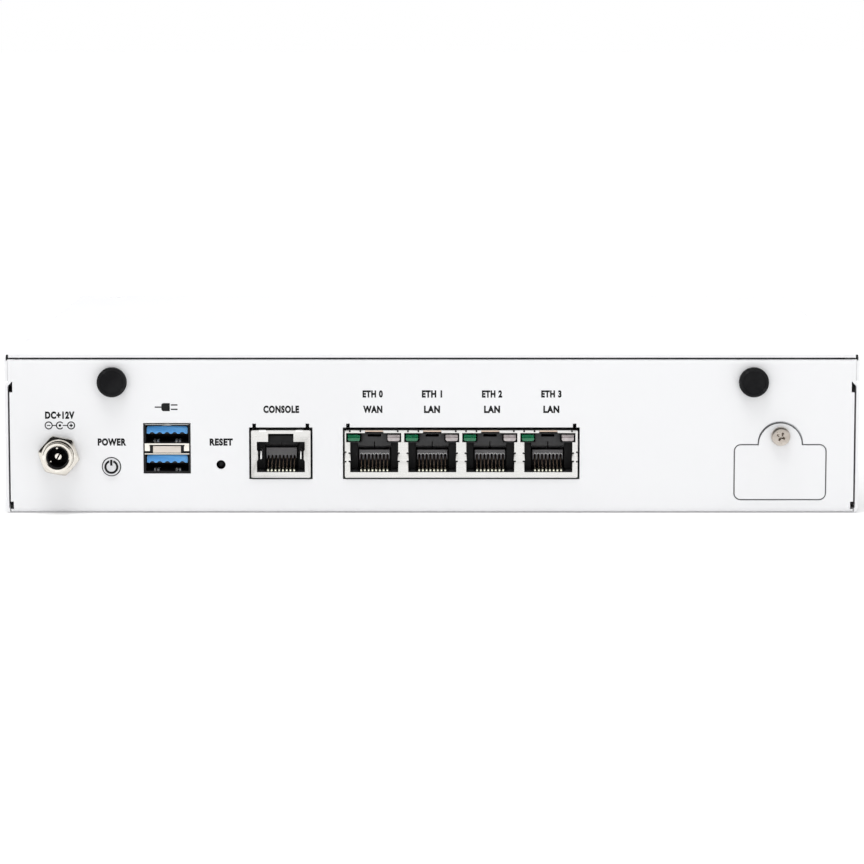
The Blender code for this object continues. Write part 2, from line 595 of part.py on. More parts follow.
def lan_ports():
    centres = [LAN_X + (i - (LAN_PORTS - 1) / 2) * LAN_PITCH for i in range(LAN_PORTS)]
    can = shield("lan_shield", LAN_X, LAN_WIDTH, LAN_DEPTH, [lamp_mouth_outline(x) for x in centres])
    front = REAR - PORT_PROUD + SHIELD
    for number, x in enumerate(centres, 1):
        name = f"lan_socket_{number}"
        jack_insert(name, x, INSERT_HALF, LAN_DEPTH, mouth_outline(x), can, lamps=True)
        for side, lamp, lens in ((-1, "green", "green_lens"), (1, "clear", "clear_lens")):
            bm = bmesh.new()
            edges = sorted((x + side * LAMP_X[0], x + side * LAMP_X[1]))
            box(bm, edges, (front, front + LAMP_DEPTH), LAMP_Z)
            make(f"lan_lamp_{lamp}_{number}", bm, lens, (x, front, LAMP_Z[0]), can)


def usb_ports():
    front, half = REAR - PORT_PROUD, USB_WIDTH / 2
    bm = bmesh.new()
    box(bm, (USB_X - half, USB_X + half), (front, front + USB_DEPTH), USB_Z)
    shell = make("usb_shell", bm, "tinned_steel", (USB_X, front, USB_Z[0]))
    mouths = bmesh.new()
    floor = front + USB_MOUTH_DEPTH
    for low, high in USB_MOUTHS.values():
        box(mouths, (USB_X - half + SHIELD, USB_X + half - SHIELD), (front - PAST, floor), (low, high))
    boolean(shell, "usb_mouths", mouths)
    for place, (low, high) in USB_MOUTHS.items():
        bm = bmesh.new()
        top = high - TONGUE_DROP
        x = (USB_X - TONGUE_HALF, USB_X + TONGUE_HALF)
        box(bm, x, (front + TONGUE_SUNK, floor - GAP), (top - TONGUE_THICKNESS, top))
        make(f"usb_tongue_{place}", bm, "blue_plastic", (USB_X, front, top), shell)


# ---- service hatch -------------------------------------------------------------------------------------


def service_hatch():
    """Flush cover with its screw, the bracket that it sits on, and the card reader behind it."""
    origin = (HATCH_X, REAR, HATCH_SCREW_Z)
    bm = bmesh.new()
    sweep(bm, hatch_outline(0), "Y", REAR, INNER_REAR)
    cover = make("service_cover", bm, "white_powder_coat", origin)
    hole = bmesh.new()
    sweep(hole, circle(HATCH_X, HATCH_SCREW_Z, SCREW_HOLE, SMALL_STEPS), "Y", REAR - PAST, REAR + 2 * PAST)
    boolean(cover, "service_cover_hole", hole)

    bm = bmesh.new()
    under, top = -GAP, -GAP - PAN_HEIGHT
    profile = [(0, top), (PAN_TOP, top), (PAN_HEAD, top + PAN_HEIGHT / 2), (PAN_HEAD, under)]
    profile += [(SCREW_SHANK, under), (SCREW_SHANK, HATCH_SCREW_LENGTH), (0, HATCH_SCREW_LENGTH)]
    turn(bm, profile, "Y", origin, SMALL_STEPS)
    make("service_cover_screw", bm, "warm_nickel", origin, cover)

    bm = bmesh.new()
    y = (INNER_REAR + GAP, INNER_REAR + GAP + SHEET)
    box(bm, (HATCH_X - BRACKET_HALF, HATCH_X + BRACKET_HALF), y, BRACKET_Z)
    bracket = make("service_bracket", bm, "zinc_steel", (HATCH_X, y[0], BRACKET_Z[0]))
    mouth = bmesh.new()
    past = (y[0] - PAST, y[1] + PAST)
    x = (HATCH_X - BRACKET_MOUTH_HALF, HATCH_X + BRACKET_MOUTH_HALF)
    box(mouth, x, past, BRACKET_MOUTH_Z)
    sweep(mouth, circle(HATCH_X, HATCH_SCREW_Z, SCREW_HOLE, SMALL_STEPS), "Y", *past)
    boolean(bracket, "bracket_openings", mouth)

    width, depth, height = CARD_READER
    slot_width, slot_depth, slot_height = CARD_SLOT
    front, middle = BOARD_Y[0], ON_BOARD + height / 2
    bm = bmesh.new()
    box(bm, (HATCH_X - width / 2, HATCH_X + width / 2), (front, front + depth), (ON_BOARD, ON_BOARD + height))
    reader = make("card_reader", bm, "tinned_steel", (HATCH_X, front, ON_BOARD))
    slot = bmesh.new()
    x = (HATCH_X - slot_width / 2, HATCH_X + slot_width / 2)
    box(slot, x, (front - PAST, front + slot_depth), (middle - slot_height / 2, middle + slot_height / 2))
    boolean(reader, "card_slot", slot)


# ---- main board and what it carries --------------------------------------------------------------------


def main_board():
    bm = bmesh.new()
    box(bm, (-BOARD_X, BOARD_X), BOARD_Y, BOARD_Z)
    board = make("main_board", bm, "green_board", (0, 0, BOARD_Z[1]))
    holes = bmesh.new()
    for x, y in BOARD_SCREWS:
        sweep(holes, circle(x, y, SCREW_HOLE, SMALL_STEPS), "Z", BOARD_Z[0] - PAST, BOARD_Z[1] + PAST)
    boolean(board, "board_holes", holes)
    low, high = SHEET + GAP, BOARD_Z[0] - GAP
    for number, (x, y) in enumerate(BOARD_SCREWS, 1):
        bm = bmesh.new()
        sweep(bm, circle(x, y, STANDOFF, 6), "Z", low, high)
        post = make(f"board_standoff_{number}", bm, "brass", (x, y, low))
        bore = bmesh.new()
        sweep(bore, circle(x, y, SCREW_HOLE, SMALL_STEPS), "Z", low + PAST, high + PAST)
        boolean(post, f"standoff_bore_{number}", bore)
        bm = bmesh.new()
        top = GAP + PAN_HEIGHT
        profile = [(0, top), (PAN_TOP, top), (PAN_HEAD, GAP + PAN_HEIGHT / 2), (PAN_HEAD, GAP)]
        profile += [(SCREW_SHANK, GAP), (SCREW_SHANK, -HATCH_SCREW_LENGTH), (0, -HATCH_SCREW_LENGTH)]
        turn(bm, profile, "Z", (x, y, BOARD_Z[1]), SMALL_STEPS)
        make(f"board_screw_{number}", bm, "zinc_steel", (x, y, BOARD_Z[1]), board)
    return board


def limits(place):
    """x and y limits of a part given by its centre and its two sides."""
    x, y, width, depth = place
    return (x - width / 2, x + width / 2), (y - depth / 2, y + depth / 2)


def processor(board):
    x, y = limits(CPU)
    bm = bmesh.new()
    box(bm, x, y, (ON_BOARD, ON_BOARD + CPU_HEIGHT))
    make("processor", bm, "chip_black", (CPU[0], CPU[1], ON_BOARD), board)
    low, left, right = ON_BOARD + CPU_HEIGHT + GAP, CPU[0] - SINK_SIDE / 2, CPU[0] + SINK_SIDE / 2
    pitch = (SINK_SIDE - FIN_THICKNESS) / (SINK_FINS - 1)
    outline = [(left, low), (right, low)]
    for i in reversed(range(SINK_FINS)):
        fin = left + i * pitch
        fin_side = [(fin + FIN_THICKNESS, SINK_TOP), (fin, SINK_TOP)]
        root_right = [(fin + FIN_THICKNESS, low + SINK_BASE)] if i < SINK_FINS - 1 else []
        root_left = [(fin, low + SINK_BASE)] if i else []
        outline += root_right + fin_side + root_left
    bm = bmesh.new()
    sweep(bm, outline, "Y", CPU[1] - SINK_SIDE / 2, CPU[1] + SINK_SIDE / 2)
    make("heatsink", bm, "brushed_aluminium", (CPU[0], CPU[1], low), board)


def edge_socket(name, place, level, thickness, arms, board):
    """Connector that grips the rear edge of a module, with latch arms beside it if asked."""
    (x0, x1), (y0, y1) = limits(place)
    top = level + thickness + SOCKET_ABOVE
    front = y0 - GAP - (SOCKET_DEPTH - SOCKET_GRIP)
    sides = GAP + LATCH_ARM
    bm = bmesh.new()
    box(bm, (x0 - sides, x1 + sides), (front, front + SOCKET_DEPTH), (ON_BOARD, top))
    socket = make(name, bm, "black_plastic", (place[0], front, ON_BOARD), board)
    slot = bmesh.new()
    ends = (y0 - GAP, front + SOCKET_DEPTH + PAST)
    box(slot, (x0 - GAP, x1 + GAP), ends, (level - GAP, level + thickness + GAP))
    boolean(socket, f"{name}_slot", slot)
    if arms:
        latches = bmesh.new()
        for edge, out in ((x0 - GAP, -1), (x1 + GAP, 1)):
            x = sorted((edge, edge + out * LATCH_ARM))
            box(latches, x, (front + SOCKET_DEPTH - PAST, y1), (ON_BOARD, top))
        boolean(socket, f"{name}_latches", latches, "UNION")


def memory(board):
    x, y = limits(MEMORY)
    bm = bmesh.new()
    box(bm, x, y, (MEMORY_Z, MEMORY_Z + MEMORY_THICKNESS))
    make("memory_module", bm, "green_board", (MEMORY[0], y[0], MEMORY_Z), board)
    edge_socket("memory_socket", MEMORY, MEMORY_Z, MEMORY_THICKNESS, True, board)


def solid_state_drive(board):
    """Card with its raised chips, in its connector."""
    (x0, x1), (y0, y1) = limits(SSD)
    bm = bmesh.new()
    box(bm, (x0, x1), (y0, y1), (SSD_Z, SSD_Z + SSD_THICKNESS))
    card = make("ssd_module", bm, "green_board", (SSD[0], y0, SSD_Z), board)
    chips = bmesh.new()
    length = (y1 - y0) / (SSD_CHIP_COUNT + 1)
    for i in range(1, SSD_CHIP_COUNT + 1):
        y = (y0 + i * length + SSD_MARGIN / 2, y0 + (i + 1) * length - SSD_MARGIN)
        z = (SSD_Z + SSD_THICKNESS / 2, SSD_Z + SSD_THICKNESS + SSD_CHIPS)
        box(chips, (x0 + 2 * SSD_MARGIN, x1 - 2 * SSD_MARGIN), y, z)
    boolean(card, "ssd_chips", chips, "UNION")
    edge_socket("ssd_socket", SSD, SSD_Z, SSD_THICKNESS, False, board)


def clock_battery(board):
    half, floor = HOLDER_SIDE / 2, ON_BOARD + HOLDER_FLOOR
    bm = bmesh.new()
    outline = rounded_rectangle(CELL_X - half, CELL_X + half, CELL_Y - half, CELL_Y + half, 2 * MM)
    sweep(bm, outline, "Z", ON_BOARD, ON_BOARD + HOLDER_HEIGHT)
    holder = make("coin_cell_holder", bm, "black_plastic", (CELL_X, CELL_Y, ON_BOARD), board)
    pocket = bmesh.new()
    sweep(pocket, circle(CELL_X, CELL_Y, CELL_RADIUS + GAP), "Z", floor, floor + HOLDER_HEIGHT)
    boolean(holder, "cell_pocket", pocket)
    bm = bmesh.new()
    sweep(bm, circle(CELL_X, CELL_Y, CELL_RADIUS), "Z", floor + GAP, floor + GAP + CELL_HEIGHT)
    make("coin_cell", bm, "tinned_steel", (CELL_X, CELL_Y, floor), holder)


def light_guide():
    """Clear bar behind the front panel whose three stubs show as its lamps."""
    width, depth, height = GUIDE_SIZE
    back = INNER_FRONT - GAP
    bm = bmesh.new()
    z = (GUIDE_Z - height / 2, GUIDE_Z + height / 2)
    box(bm, (GUIDE_X - width / 2, GUIDE_X + width / 2), (back - depth, back), z)
    guide = make("front_light_guide", bm, "clear_lens", (GUIDE_X, FRONT, GUIDE_Z))
    stubs = bmesh.new()
    for i in (-1, 0, 1):
        stub = circle(GUIDE_X + i * GUIDE_PITCH, GUIDE_Z, GUIDE_STUB, SMALL_STEPS)
        sweep(stubs, stub, "Y", back - depth / 2, FRONT)
    boolean(guide, "guide_stubs", stubs, "UNION")


def main():
    clear_scene()
    base_tray()
    top_cover()
    antenna_plug("antenna_plug_left", ANTENNA_X[0])
    antenna_plug("antenna_plug_right", ANTENNA_X[1])
    dc_inlet()
    push_button("power", POWER_X, POWER_Z, POWER_CAP, -POWER_PROUD, POWER_TRAVEL, "grey_plastic")
    push_button("reset", RESET_X, RESET_Z, RESET_CAP, RESET_SUNK, RESET_TRAVEL, "black_plastic")
    console_port()
    lan_ports()
    usb_ports()
    service_hatch()
    board = main_board()
    processor(board)
    memory(board)
    solid_state_drive(board)
    clock_battery(board)
    light_guide()


main()
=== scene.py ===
"""Looks of the desktop firewall appliance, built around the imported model.

Lengths are in metres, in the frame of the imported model: the origin is the centre of the underside, the port
panel faces -Y and +Z is up.
"""

import json
import random
from math import copysign, cos, hypot, pi, radians, sin, tan

import bmesh
import bpy
from mathutils import Matrix, Vector


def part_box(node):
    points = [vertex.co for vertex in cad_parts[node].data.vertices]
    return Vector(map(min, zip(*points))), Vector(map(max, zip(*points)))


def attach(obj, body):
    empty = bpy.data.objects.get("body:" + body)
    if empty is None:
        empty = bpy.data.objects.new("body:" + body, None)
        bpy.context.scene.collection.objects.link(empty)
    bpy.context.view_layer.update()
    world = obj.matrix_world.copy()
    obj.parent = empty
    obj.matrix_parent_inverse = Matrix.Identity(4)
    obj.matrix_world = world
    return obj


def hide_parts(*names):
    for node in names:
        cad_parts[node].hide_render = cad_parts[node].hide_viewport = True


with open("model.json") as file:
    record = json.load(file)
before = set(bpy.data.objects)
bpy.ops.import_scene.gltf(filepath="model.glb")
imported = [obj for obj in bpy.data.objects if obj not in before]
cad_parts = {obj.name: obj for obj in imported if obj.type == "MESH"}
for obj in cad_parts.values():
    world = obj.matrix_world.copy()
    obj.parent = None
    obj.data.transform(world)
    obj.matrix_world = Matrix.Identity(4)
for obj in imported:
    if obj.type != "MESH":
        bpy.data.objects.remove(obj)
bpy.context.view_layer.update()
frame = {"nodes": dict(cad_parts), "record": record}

MM = 0.001
AXES = {"X": Vector((1, 0, 0)), "Y": Vector((0, 1, 0)), "Z": Vector((0, 0, 1))}
SHARP = radians(32)  # edges at a larger angle stay sharp in the shading
CREASE = radians(30)  # edges at a larger angle are rounded
FLAT = radians(0.5)  # neighbouring faces within this angle are one flat face
WELD = 1e-7  # distance within which points are the same


# ---- shader nodes ----


class Nodes:
    """Short calls for the shader nodes that this script uses."""

    def __init__(self, tree):
        self.tree = tree

    def node(self, kind, **inputs):
        made = self.tree.nodes.new("ShaderNode" + kind)
        self.set(made, inputs)
        return made

    def set(self, node, inputs):
        """Links or sets each input of a node. An input goes by its name or by its number."""
        for name, value in inputs.items():
            socket = node.inputs[name.replace("_", " ") if isinstance(name, str) else name]
            if isinstance(value, bpy.types.NodeSocket):
                self.tree.links.new(value, socket)
            elif socket.type == "RGBA":
                socket.default_value = (*value, 1)
            else:
                socket.default_value = value

    def ramp(self, value, low, high, start=0.0, end=1.0):
        """Value taken from low..high to start..end, and held there."""
        made = self.node("MapRange", Value=value)
        self.set(made, {1: low, 2: high, 3: start, 4: end})
        return made.outputs["Result"]

    def mix(self, share, first, second):
        """Colour between two colours."""
        made = self.node("Mix")
        made.data_type = "RGBA"
        self.set(made, {0: share, 6: first, 7: second})
        return made.outputs[2]


class Shader(Nodes):
    """One material, textured in object coordinates."""

    def __init__(self, name, colour, roughness, metallic=0.0, **settings):
        self.material = bpy.data.materials.new(name)
        self.material.use_nodes = True
        self.material.diffuse_color = (*colour, 1)
        super().__init__(self.material.node_tree)
        self.coordinates = self.node("TexCoord").outputs["Object"]
        self.finish(Base_Color=colour, Roughness=roughness, Metallic=metallic, **settings)

    def finish(self, **inputs):
        self.set(self.tree.nodes["Principled BSDF"], inputs)

    def stretched(self, scale):
        """Object coordinates multiplied by scale, so that a texture runs along one axis."""
        return self.node("Mapping", Vector=self.coordinates, Scale=scale).outputs["Vector"]

    def noise(self, scale, detail=2.0, roughness=0.5, vector=None):
        """Noise in object coordinates, or along the vector given."""
        vector = vector or self.coordinates
        made = self.node("TexNoise", Vector=vector, Scale=scale, Detail=detail, Roughness=roughness)
        return made.outputs["Fac"]

    def bump(self, *layers):
        """Bumps the surface by each (height, distance) in turn."""
        below = {}
        for height, distance in layers:
            made = self.node("Bump", Height=height, Distance=distance, Strength=1.0, **below)
            below = {"Normal": made.outputs["Normal"]}
        self.finish(**below)

    def edges(self, low=0.52, high=0.6):
        """0 on flat faces, rising to 1 on outer edges."""
        return self.ramp(self.node("NewGeometry").outputs["Pointiness"], low, high)


def powder_coat():
    """White powder coat: orange peel, a finer grain, and a faint unevenness of tone."""
    made = Shader("white_powder_coat", (0.84, 0.843, 0.855), 0.42, Specular_IOR_Level=0.42)
    cloud, grain = made.ramp(made.noise(9, 3), 0.35, 0.65), made.noise(5200)
    made.finish(Base_Color=made.mix(cloud, (0.828, 0.831, 0.843), (0.85, 0.853, 0.865)))
    made.finish(Roughness=made.ramp(grain, 0.3, 0.7, 0.37, 0.5))
    made.bump((made.noise(1500), 0.012 * MM), (grain, 0.004 * MM))
    return made.material


def plated(name, colour, roughness, shade, grain=(900, 900, 900)):
    """Plated sheet: rolling grain along one axis, fine stains, and a painted highlight that makes its outer
    edges brighter.
    """
    made = Shader(name, colour, roughness, 1.0)
    lines = made.noise(1, 4, 0.6, made.stretched(grain))
    dull = made.mix(made.ramp(made.noise(420, 3), 0.35, 0.75), colour, shade)
    bright = tuple(min(1, c * 1.2) for c in colour)
    # painted highlight: outer edges a fifth lighter than the plating
    made.finish(Base_Color=made.mix(made.edges(), dull, bright))
    made.finish(Roughness=made.ramp(lines, 0.25, 0.75, roughness * 0.75, roughness * 1.35))
    made.bump((lines, 0.004 * MM))
    return made.material


def moulded(name, colour, roughness, mottle_and_highlight, grain=2600, bump=0.008 * MM, **settings):
    """Moulded plastic or rubber: fine texture, slight mottling, and a painted highlight that makes outer
    edges paler.
    """
    made = Shader(name, colour, roughness, **settings)
    texture = made.noise(grain, 3, 0.6)
    mottle = made.ramp(made.noise(260), 0.4, 0.7, 0, 0.35)
    # random mottle, and the painted highlight on outer edges, both in the paler colour
    made.finish(Base_Color=made.mix(made.edges(0.51, 0.58), made.mix(mottle, colour, mottle_and_highlight), mottle_and_highlight))
    made.finish(Roughness=made.ramp(texture, 0.3, 0.7, roughness * 0.85, roughness * 1.15))
    made.bump((texture, bump))
    return made.material


def solder_mask():
    """Board surface: a green film over faint copper tracks, with the weave showing through."""
    made = Shader("solder_mask", (0.012, 0.1, 0.045), 0.3, Coat_Weight=0.3, Coat_Roughness=0.15)
    brick = {"Mortar Size": 0.06, "Mortar Smooth": 0.1, "Brick Width": 1.7, "Row Height": 0.21}
    tracks = made.node("TexBrick", Vector=made.stretched((1, 1, 0)), Scale=160.0, **brick)
    tracks.offset = 0.37
    fields, weave = made.ramp(made.noise(60, 1), 0.48, 0.52), made.noise(2400)
    green = made.mix(tracks.outputs["Fac"], (0.012, 0.1, 0.045), (0.03, 0.19, 0.08))
    made.finish(Base_Color=made.mix(fields, green, (0.01, 0.075, 0.034)))
    made.finish(Roughness=made.ramp(weave, 0.3, 0.7, 0.24, 0.38))
    made.bump((tracks.outputs["Fac"], 0.02 * MM), (weave, 0.004 * MM))
    return made.material


def lens(name, colour, deep):
    """Translucent lamp window, with a slight unevenness of tint."""
    made = Shader(name, colour, 0.22, Transmission_Weight=0.25, IOR=1.49, Coat_Weight=0.4)
    made.finish(Base_Color=made.mix(made.ramp(made.noise(700), 0.35, 0.65), colour, deep))
    made.bump((made.noise(1800), 0.006 * MM))
    return made.material


def ink():
    """Screen-printed black ink."""
    made = Shader("black_ink", (0.006, 0.006, 0.007), 0.5, Specular_IOR_Level=0.25)
    made.finish(Roughness=made.ramp(made.noise(3000), 0.3, 0.7, 0.42, 0.6))
    made.bump((made.noise(5200), 0.003 * MM))
    return made.material


PLATED = {
    "bright_nickel": ((0.73, 0.7, 0.645), 0.12, (0.56, 0.52, 0.46)),
    # painted highlight: a near-white copy of tinned steel, for lit springs, pads and edges
    "tin_painted_highlight": ((0.97, 0.96, 0.94), 0.38, (0.9, 0.89, 0.86)),
    "warm_nickel": ((0.58, 0.53, 0.48), 0.32, (0.44, 0.39, 0.34)),
    "tinned_steel": ((0.62, 0.615, 0.6), 0.27, (0.46, 0.45, 0.43), (60, 2400, 2400)),
    "zinc_steel": ((0.62, 0.63, 0.65), 0.32, (0.46, 0.47, 0.5)),
    "gold_plate": ((0.83, 0.6, 0.25), 0.2, (0.6, 0.4, 0.15)),
    # painted highlight on the contacts' noses; the next is painted shade on their wires and on the windows'
    # strips
    "gold_painted_highlight": ((0.97, 0.89, 0.7), 0.25, (0.92, 0.82, 0.6)),
    "metal_painted_shade": ((0.7, 0.55, 0.44), 0.4, (0.5, 0.38, 0.29)),
    "brushed_aluminium": ((0.72, 0.73, 0.75), 0.34, (0.6, 0.61, 0.63), (2200, 40, 2200)),
    "brass": ((0.7, 0.5, 0.2), 0.26, (0.52, 0.35, 0.12)),
}
MOULDED = {
    # painted shade: the dark bead in the hatch cover's seam
    "seam_shade_grey": ((0.07, 0.07, 0.075), 0.5, (0.12, 0.12, 0.125)),
    # painted highlight: pale rims on the comb's slots
    "comb_painted_highlight": ((0.7, 0.69, 0.71), 0.4, (0.8, 0.8, 0.8)),
    "comb_grey": ((0.04, 0.039, 0.043), 0.4, (0.14, 0.135, 0.14)),
    "socket_grey": ((0.02, 0.021, 0.022), 0.45, (0.045, 0.045, 0.047)),
    "ceramic": ((0.42, 0.3, 0.19), 0.5, (0.55, 0.42, 0.3), 5000),
    "white_ink": ((0.7, 0.7, 0.7), 0.5, (0.8, 0.8, 0.8), 5000),
    "blue_plastic": ((0.08, 0.41, 1.0), 0.36, (0.18, 0.52, 1.0)),
    "grey_plastic": ((0.66, 0.665, 0.68), 0.4, (0.74, 0.745, 0.76)),
    "red_insulation": ((0.5, 0.02, 0.015), 0.42, (0.6, 0.06, 0.05)),
    "chip_black": ((0.022, 0.022, 0.025), 0.45, (0.05, 0.05, 0.055), 4000),
}
RUBBER = ((0.005, 0.005, 0.006), 0.6, (0.02, 0.02, 0.021), 1700, 0.015 * MM)
BLACK = ((0.007, 0.007, 0.008), 0.45, (0.02, 0.02, 0.021))
MATERIALS = {
    "white_powder_coat": powder_coat(),
    "black_rubber": moulded("black_rubber", *RUBBER, Specular_IOR_Level=0.13),
    "black_plastic": moulded("black_plastic", *BLACK, Specular_IOR_Level=0.2),
    "green_lens": lens("green_lens", (0.012, 0.26, 0.11), (0.006, 0.16, 0.07)),
    "clear_lens": lens("clear_lens", (0.68, 0.62, 0.62), (0.54, 0.49, 0.49)),
    "green_board": solder_mask(),
    "black_ink": ink(),
    **{name: plated(name, *looks) for name, looks in PLATED.items()},
    **{name: moulded(name, *looks) for name, looks in MOULDED.items()},
}
SLOT_OF = {s["node"]: s["material_slot"] for s in frame["record"]["subparts"]}
BODY_OF = {node: body for body, nodes in frame["record"]["behaviour"]["bodies"].items() for node in nodes}


# ---- solids ----


def about(place, half):
    """The limits that lie this far to both sides of a place."""
    return place - half, place + half


def arc(x, y, radius, start, end, steps):
    """Points on a circle from angle start to angle end, both included."""
    angles = [start + (end - start) * i / steps for i in range(steps + 1)]
    return [(x + radius * cos(a), y + radius * sin(a)) for a in angles]


def circle(x, y, radius, steps=48):
    return arc(x, y, radius, 0, 2 * pi, steps)[:-1]


def rectangle(x, y):
    """Outline between two limits on each axis."""
    return [(x[0], y[0]), (x[1], y[0]), (x[1], y[1]), (x[0], y[1])]


def lifted(bm, outline, axis, place):
    """Vertices of an outline drawn across axis, at this place along it. Its points keep the order x, y, z."""
    at = {"X": lambda p: (place, *p), "Y": lambda p: (p[0], place, p[1]), "Z": lambda p: (*p, place)}
    return [bm.verts.new(at[axis](point)) for point in outline]


def loop(bm, verts):
    return [bm.edges.new(pair) for pair in zip(verts, verts[1:] + verts[:1])]


def moved(bm, grown, axis, distance):
    """Moves the new vertices of an extrusion, and returns them."""
    verts = [v for v in grown["geom"] if isinstance(v, bmesh.types.BMVert)]
    bmesh.ops.translate(bm, vec=AXES[axis] * distance, verts=verts)
    return verts


def sweep(bm, outline, axis, start, end):
    """Adds outline, drawn across axis, swept along it."""
    face = bm.faces.new(lifted(bm, outline, axis, start))
    moved(bm, bmesh.ops.extrude_face_region(bm, geom=[face]), axis, end - start)


def box(bm, x, y, z):
    """Adds a block between the two limits given on each axis, in either order."""
    sweep(bm, rectangle(x, y), "Z", *z)


def turn(bm, profile, axis, centre, steps=48):
    """Adds the solid that profile, as (radius, place along axis), makes when turned about axis."""
    centre, along = Vector(centre), AXES[axis]
    verts = [bm.verts.new(centre + AXES["X"] * radius + along * place) for radius, place in profile]
    edges = loop(bm, verts)
    for edge in list(edges):
        if all((v.co - centre).cross(along).length < WELD for v in edge.verts):
            bm.edges.remove(edge)
            edges.remove(edge)
    bmesh.ops.spin(
        bm, geom=verts + edges, cent=centre, axis=along, angle=2 * pi, steps=steps, use_merge=True
    )
    bmesh.ops.remove_doubles(bm, verts=bm.verts[:], dist=WELD)


def lathe(profile, x, z, steps):
    """New mesh of what profile, as (radius, y), makes when turned about the line through x and z."""
    return alone(turn, profile, "Y", (x, 0, z), steps)


def block(bm, outline, holes, axis, front, back):
    """Adds outline swept from front to back. Each hole is (outline, its end), and back is right through."""
    rims = [loop(bm, lifted(bm, edge, axis, front)) for edge in [outline] + [hole for hole, _ in holes]]
    bmesh.ops.triangle_fill(bm, use_beauty=True, edges=[edge for rim in rims for edge in rim])
    floors = {}
    for rim, end in zip(rims, [back] + [floor for _, floor in holes]):
        grown = bmesh.ops.extrude_edge_only(bm, edges=rim)
        far = set(moved(bm, grown, axis, end - front))
        edges = [e for e in grown["geom"] if isinstance(e, bmesh.types.BMEdge) and far.issuperset(e.verts)]
        floors.setdefault(end, []).extend(edges)
    for edges in floors.values():
        bmesh.ops.triangle_fill(bm, use_beauty=True, edges=edges)


def alone(shape, *facts):
    """New mesh with one box, sweep, turn or block in it, from the facts that the shape takes."""
    bm = bmesh.new()
    shape(bm, *facts)
    return bm


def strip(points, thickness):
    """Outline of a sheet of this thickness, bent along points."""
    last = len(points) - 1
    sides = ([], [])
    for i, point in enumerate(points):
        run = Vector(points[min(i + 1, last)]) - Vector(points[max(i - 1, 0)])
        out = Vector((-run.y, run.x)).normalized() * thickness / 2
        sides[0].append(tuple(Vector(point) + out))
        sides[1].append(tuple(Vector(point) - out))
    return sides[0] + sides[1][::-1]


def carved(bm, cutter):
    """What is left of bm once cutter is taken away."""
    pair = []
    for part in (bm, cutter):
        bmesh.ops.recalc_face_normals(part, faces=part.faces[:])
        mesh = bpy.data.meshes.new("carving")
        part.to_mesh(mesh)
        part.free()
        pair.append(added(bpy.data.objects.new("carving", mesh)))
    cut = pair[0].modifiers.new("cut", "BOOLEAN")
    cut.operation, cut.object = "DIFFERENCE", pair[1]
    left = bmesh.new()
    left.from_object(pair[0], bpy.context.evaluated_depsgraph_get())
    for obj in pair:
        mesh = obj.data
        bpy.data.objects.remove(obj)
        bpy.data.meshes.remove(mesh)
    return left


def added(obj):
    bpy.context.scene.collection.objects.link(obj)
    return obj


def painted(name, bm, material):
    """Mesh made of bm, in one material."""
    mesh = bpy.data.meshes.new(name)
    bm.to_mesh(mesh)
    bm.free()
    mesh.materials.append(material)
    return mesh


def piece(name, bm, material, body="chassis", replaces=(), slot=None, bevel=0.0, steps=2):
    """Finished piece of this mesh: edges rounded by bevel, shaded smooth, and riding on body."""
    bmesh.ops.recalc_face_normals(bm, faces=bm.faces[:])
    if bevel:
        round_edges(bm, bevel, steps)
    mesh = painted(name, bm, MATERIALS[material])
    mesh.shade_smooth()
    mesh.set_sharp_from_angle(angle=SHARP)
    obj = added(bpy.data.objects.new(name, mesh))
    obj.modifiers.new("flat_faces", "WEIGHTED_NORMAL").keep_sharp = True
    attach(obj, body)
    if replaces:
        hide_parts(*replaces)
    slot = slot or material
    return obj


def round_edges(bm, width, steps=2):
    sharp = [e for e in bm.edges if e.is_manifold and e.calc_face_angle(0) > CREASE]
    bmesh.ops.bevel(
        bm, geom=sharp, offset=width, segments=steps, profile=0.5, affect="EDGES", clamp_overlap=True
    )


def refined(node, bevel=0.1 * MM, steps=2):
    """Finer copy of a CAD node: flat faces made whole again and edges rounded."""
    bm = bmesh.new()
    bm.from_mesh(frame["nodes"][node].data)
    bmesh.ops.remove_doubles(bm, verts=bm.verts[:], dist=WELD)
    bmesh.ops.dissolve_limit(bm, angle_limit=FLAT, verts=bm.verts[:], edges=bm.edges[:])
    return piece(node + "_fine", bm, SLOT_OF[node], BODY_OF[node], [node], bevel=bevel, steps=steps)


def middle(node):
    low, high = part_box(node)
    return (low + high) / 2


def round_node(node):
    """Middle x and z, radius, front and back of a node that is round about a line along y."""
    low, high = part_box(node)
    return (low.x + high.x) / 2, (low.z + high.z) / 2, (high.x - low.x) / 2, low.y, high.y


# ---- stage ----

VIEW_WIDTH = 234.8 * MM  # what the camera takes in across the port panel
VIEW_DISTANCE = 0.95
VIEW_AIM = 22.1 * MM  # height of the point that the camera faces
VIEW_RISE = radians(6.8)  # how far it looks down
SENSOR = 36.0
FLOOR_RADIUS, FLOOR_Z = 12, (-0.02, -0.0001)
FLOOR_FADE = (0.2, 0.9)  # distances between which the floor gives off its own light instead of the lamps'
SKY_DIFFUSE = 0.75  # share of the white background that lights rough surfaces
SKY_TILT = (-0.26, 0, 0.966)  # middle of the dark part of the sky that metal mirrors, for contrast
SKY_DIM, SKY_TOP = (0.12, 0.42), 0.02


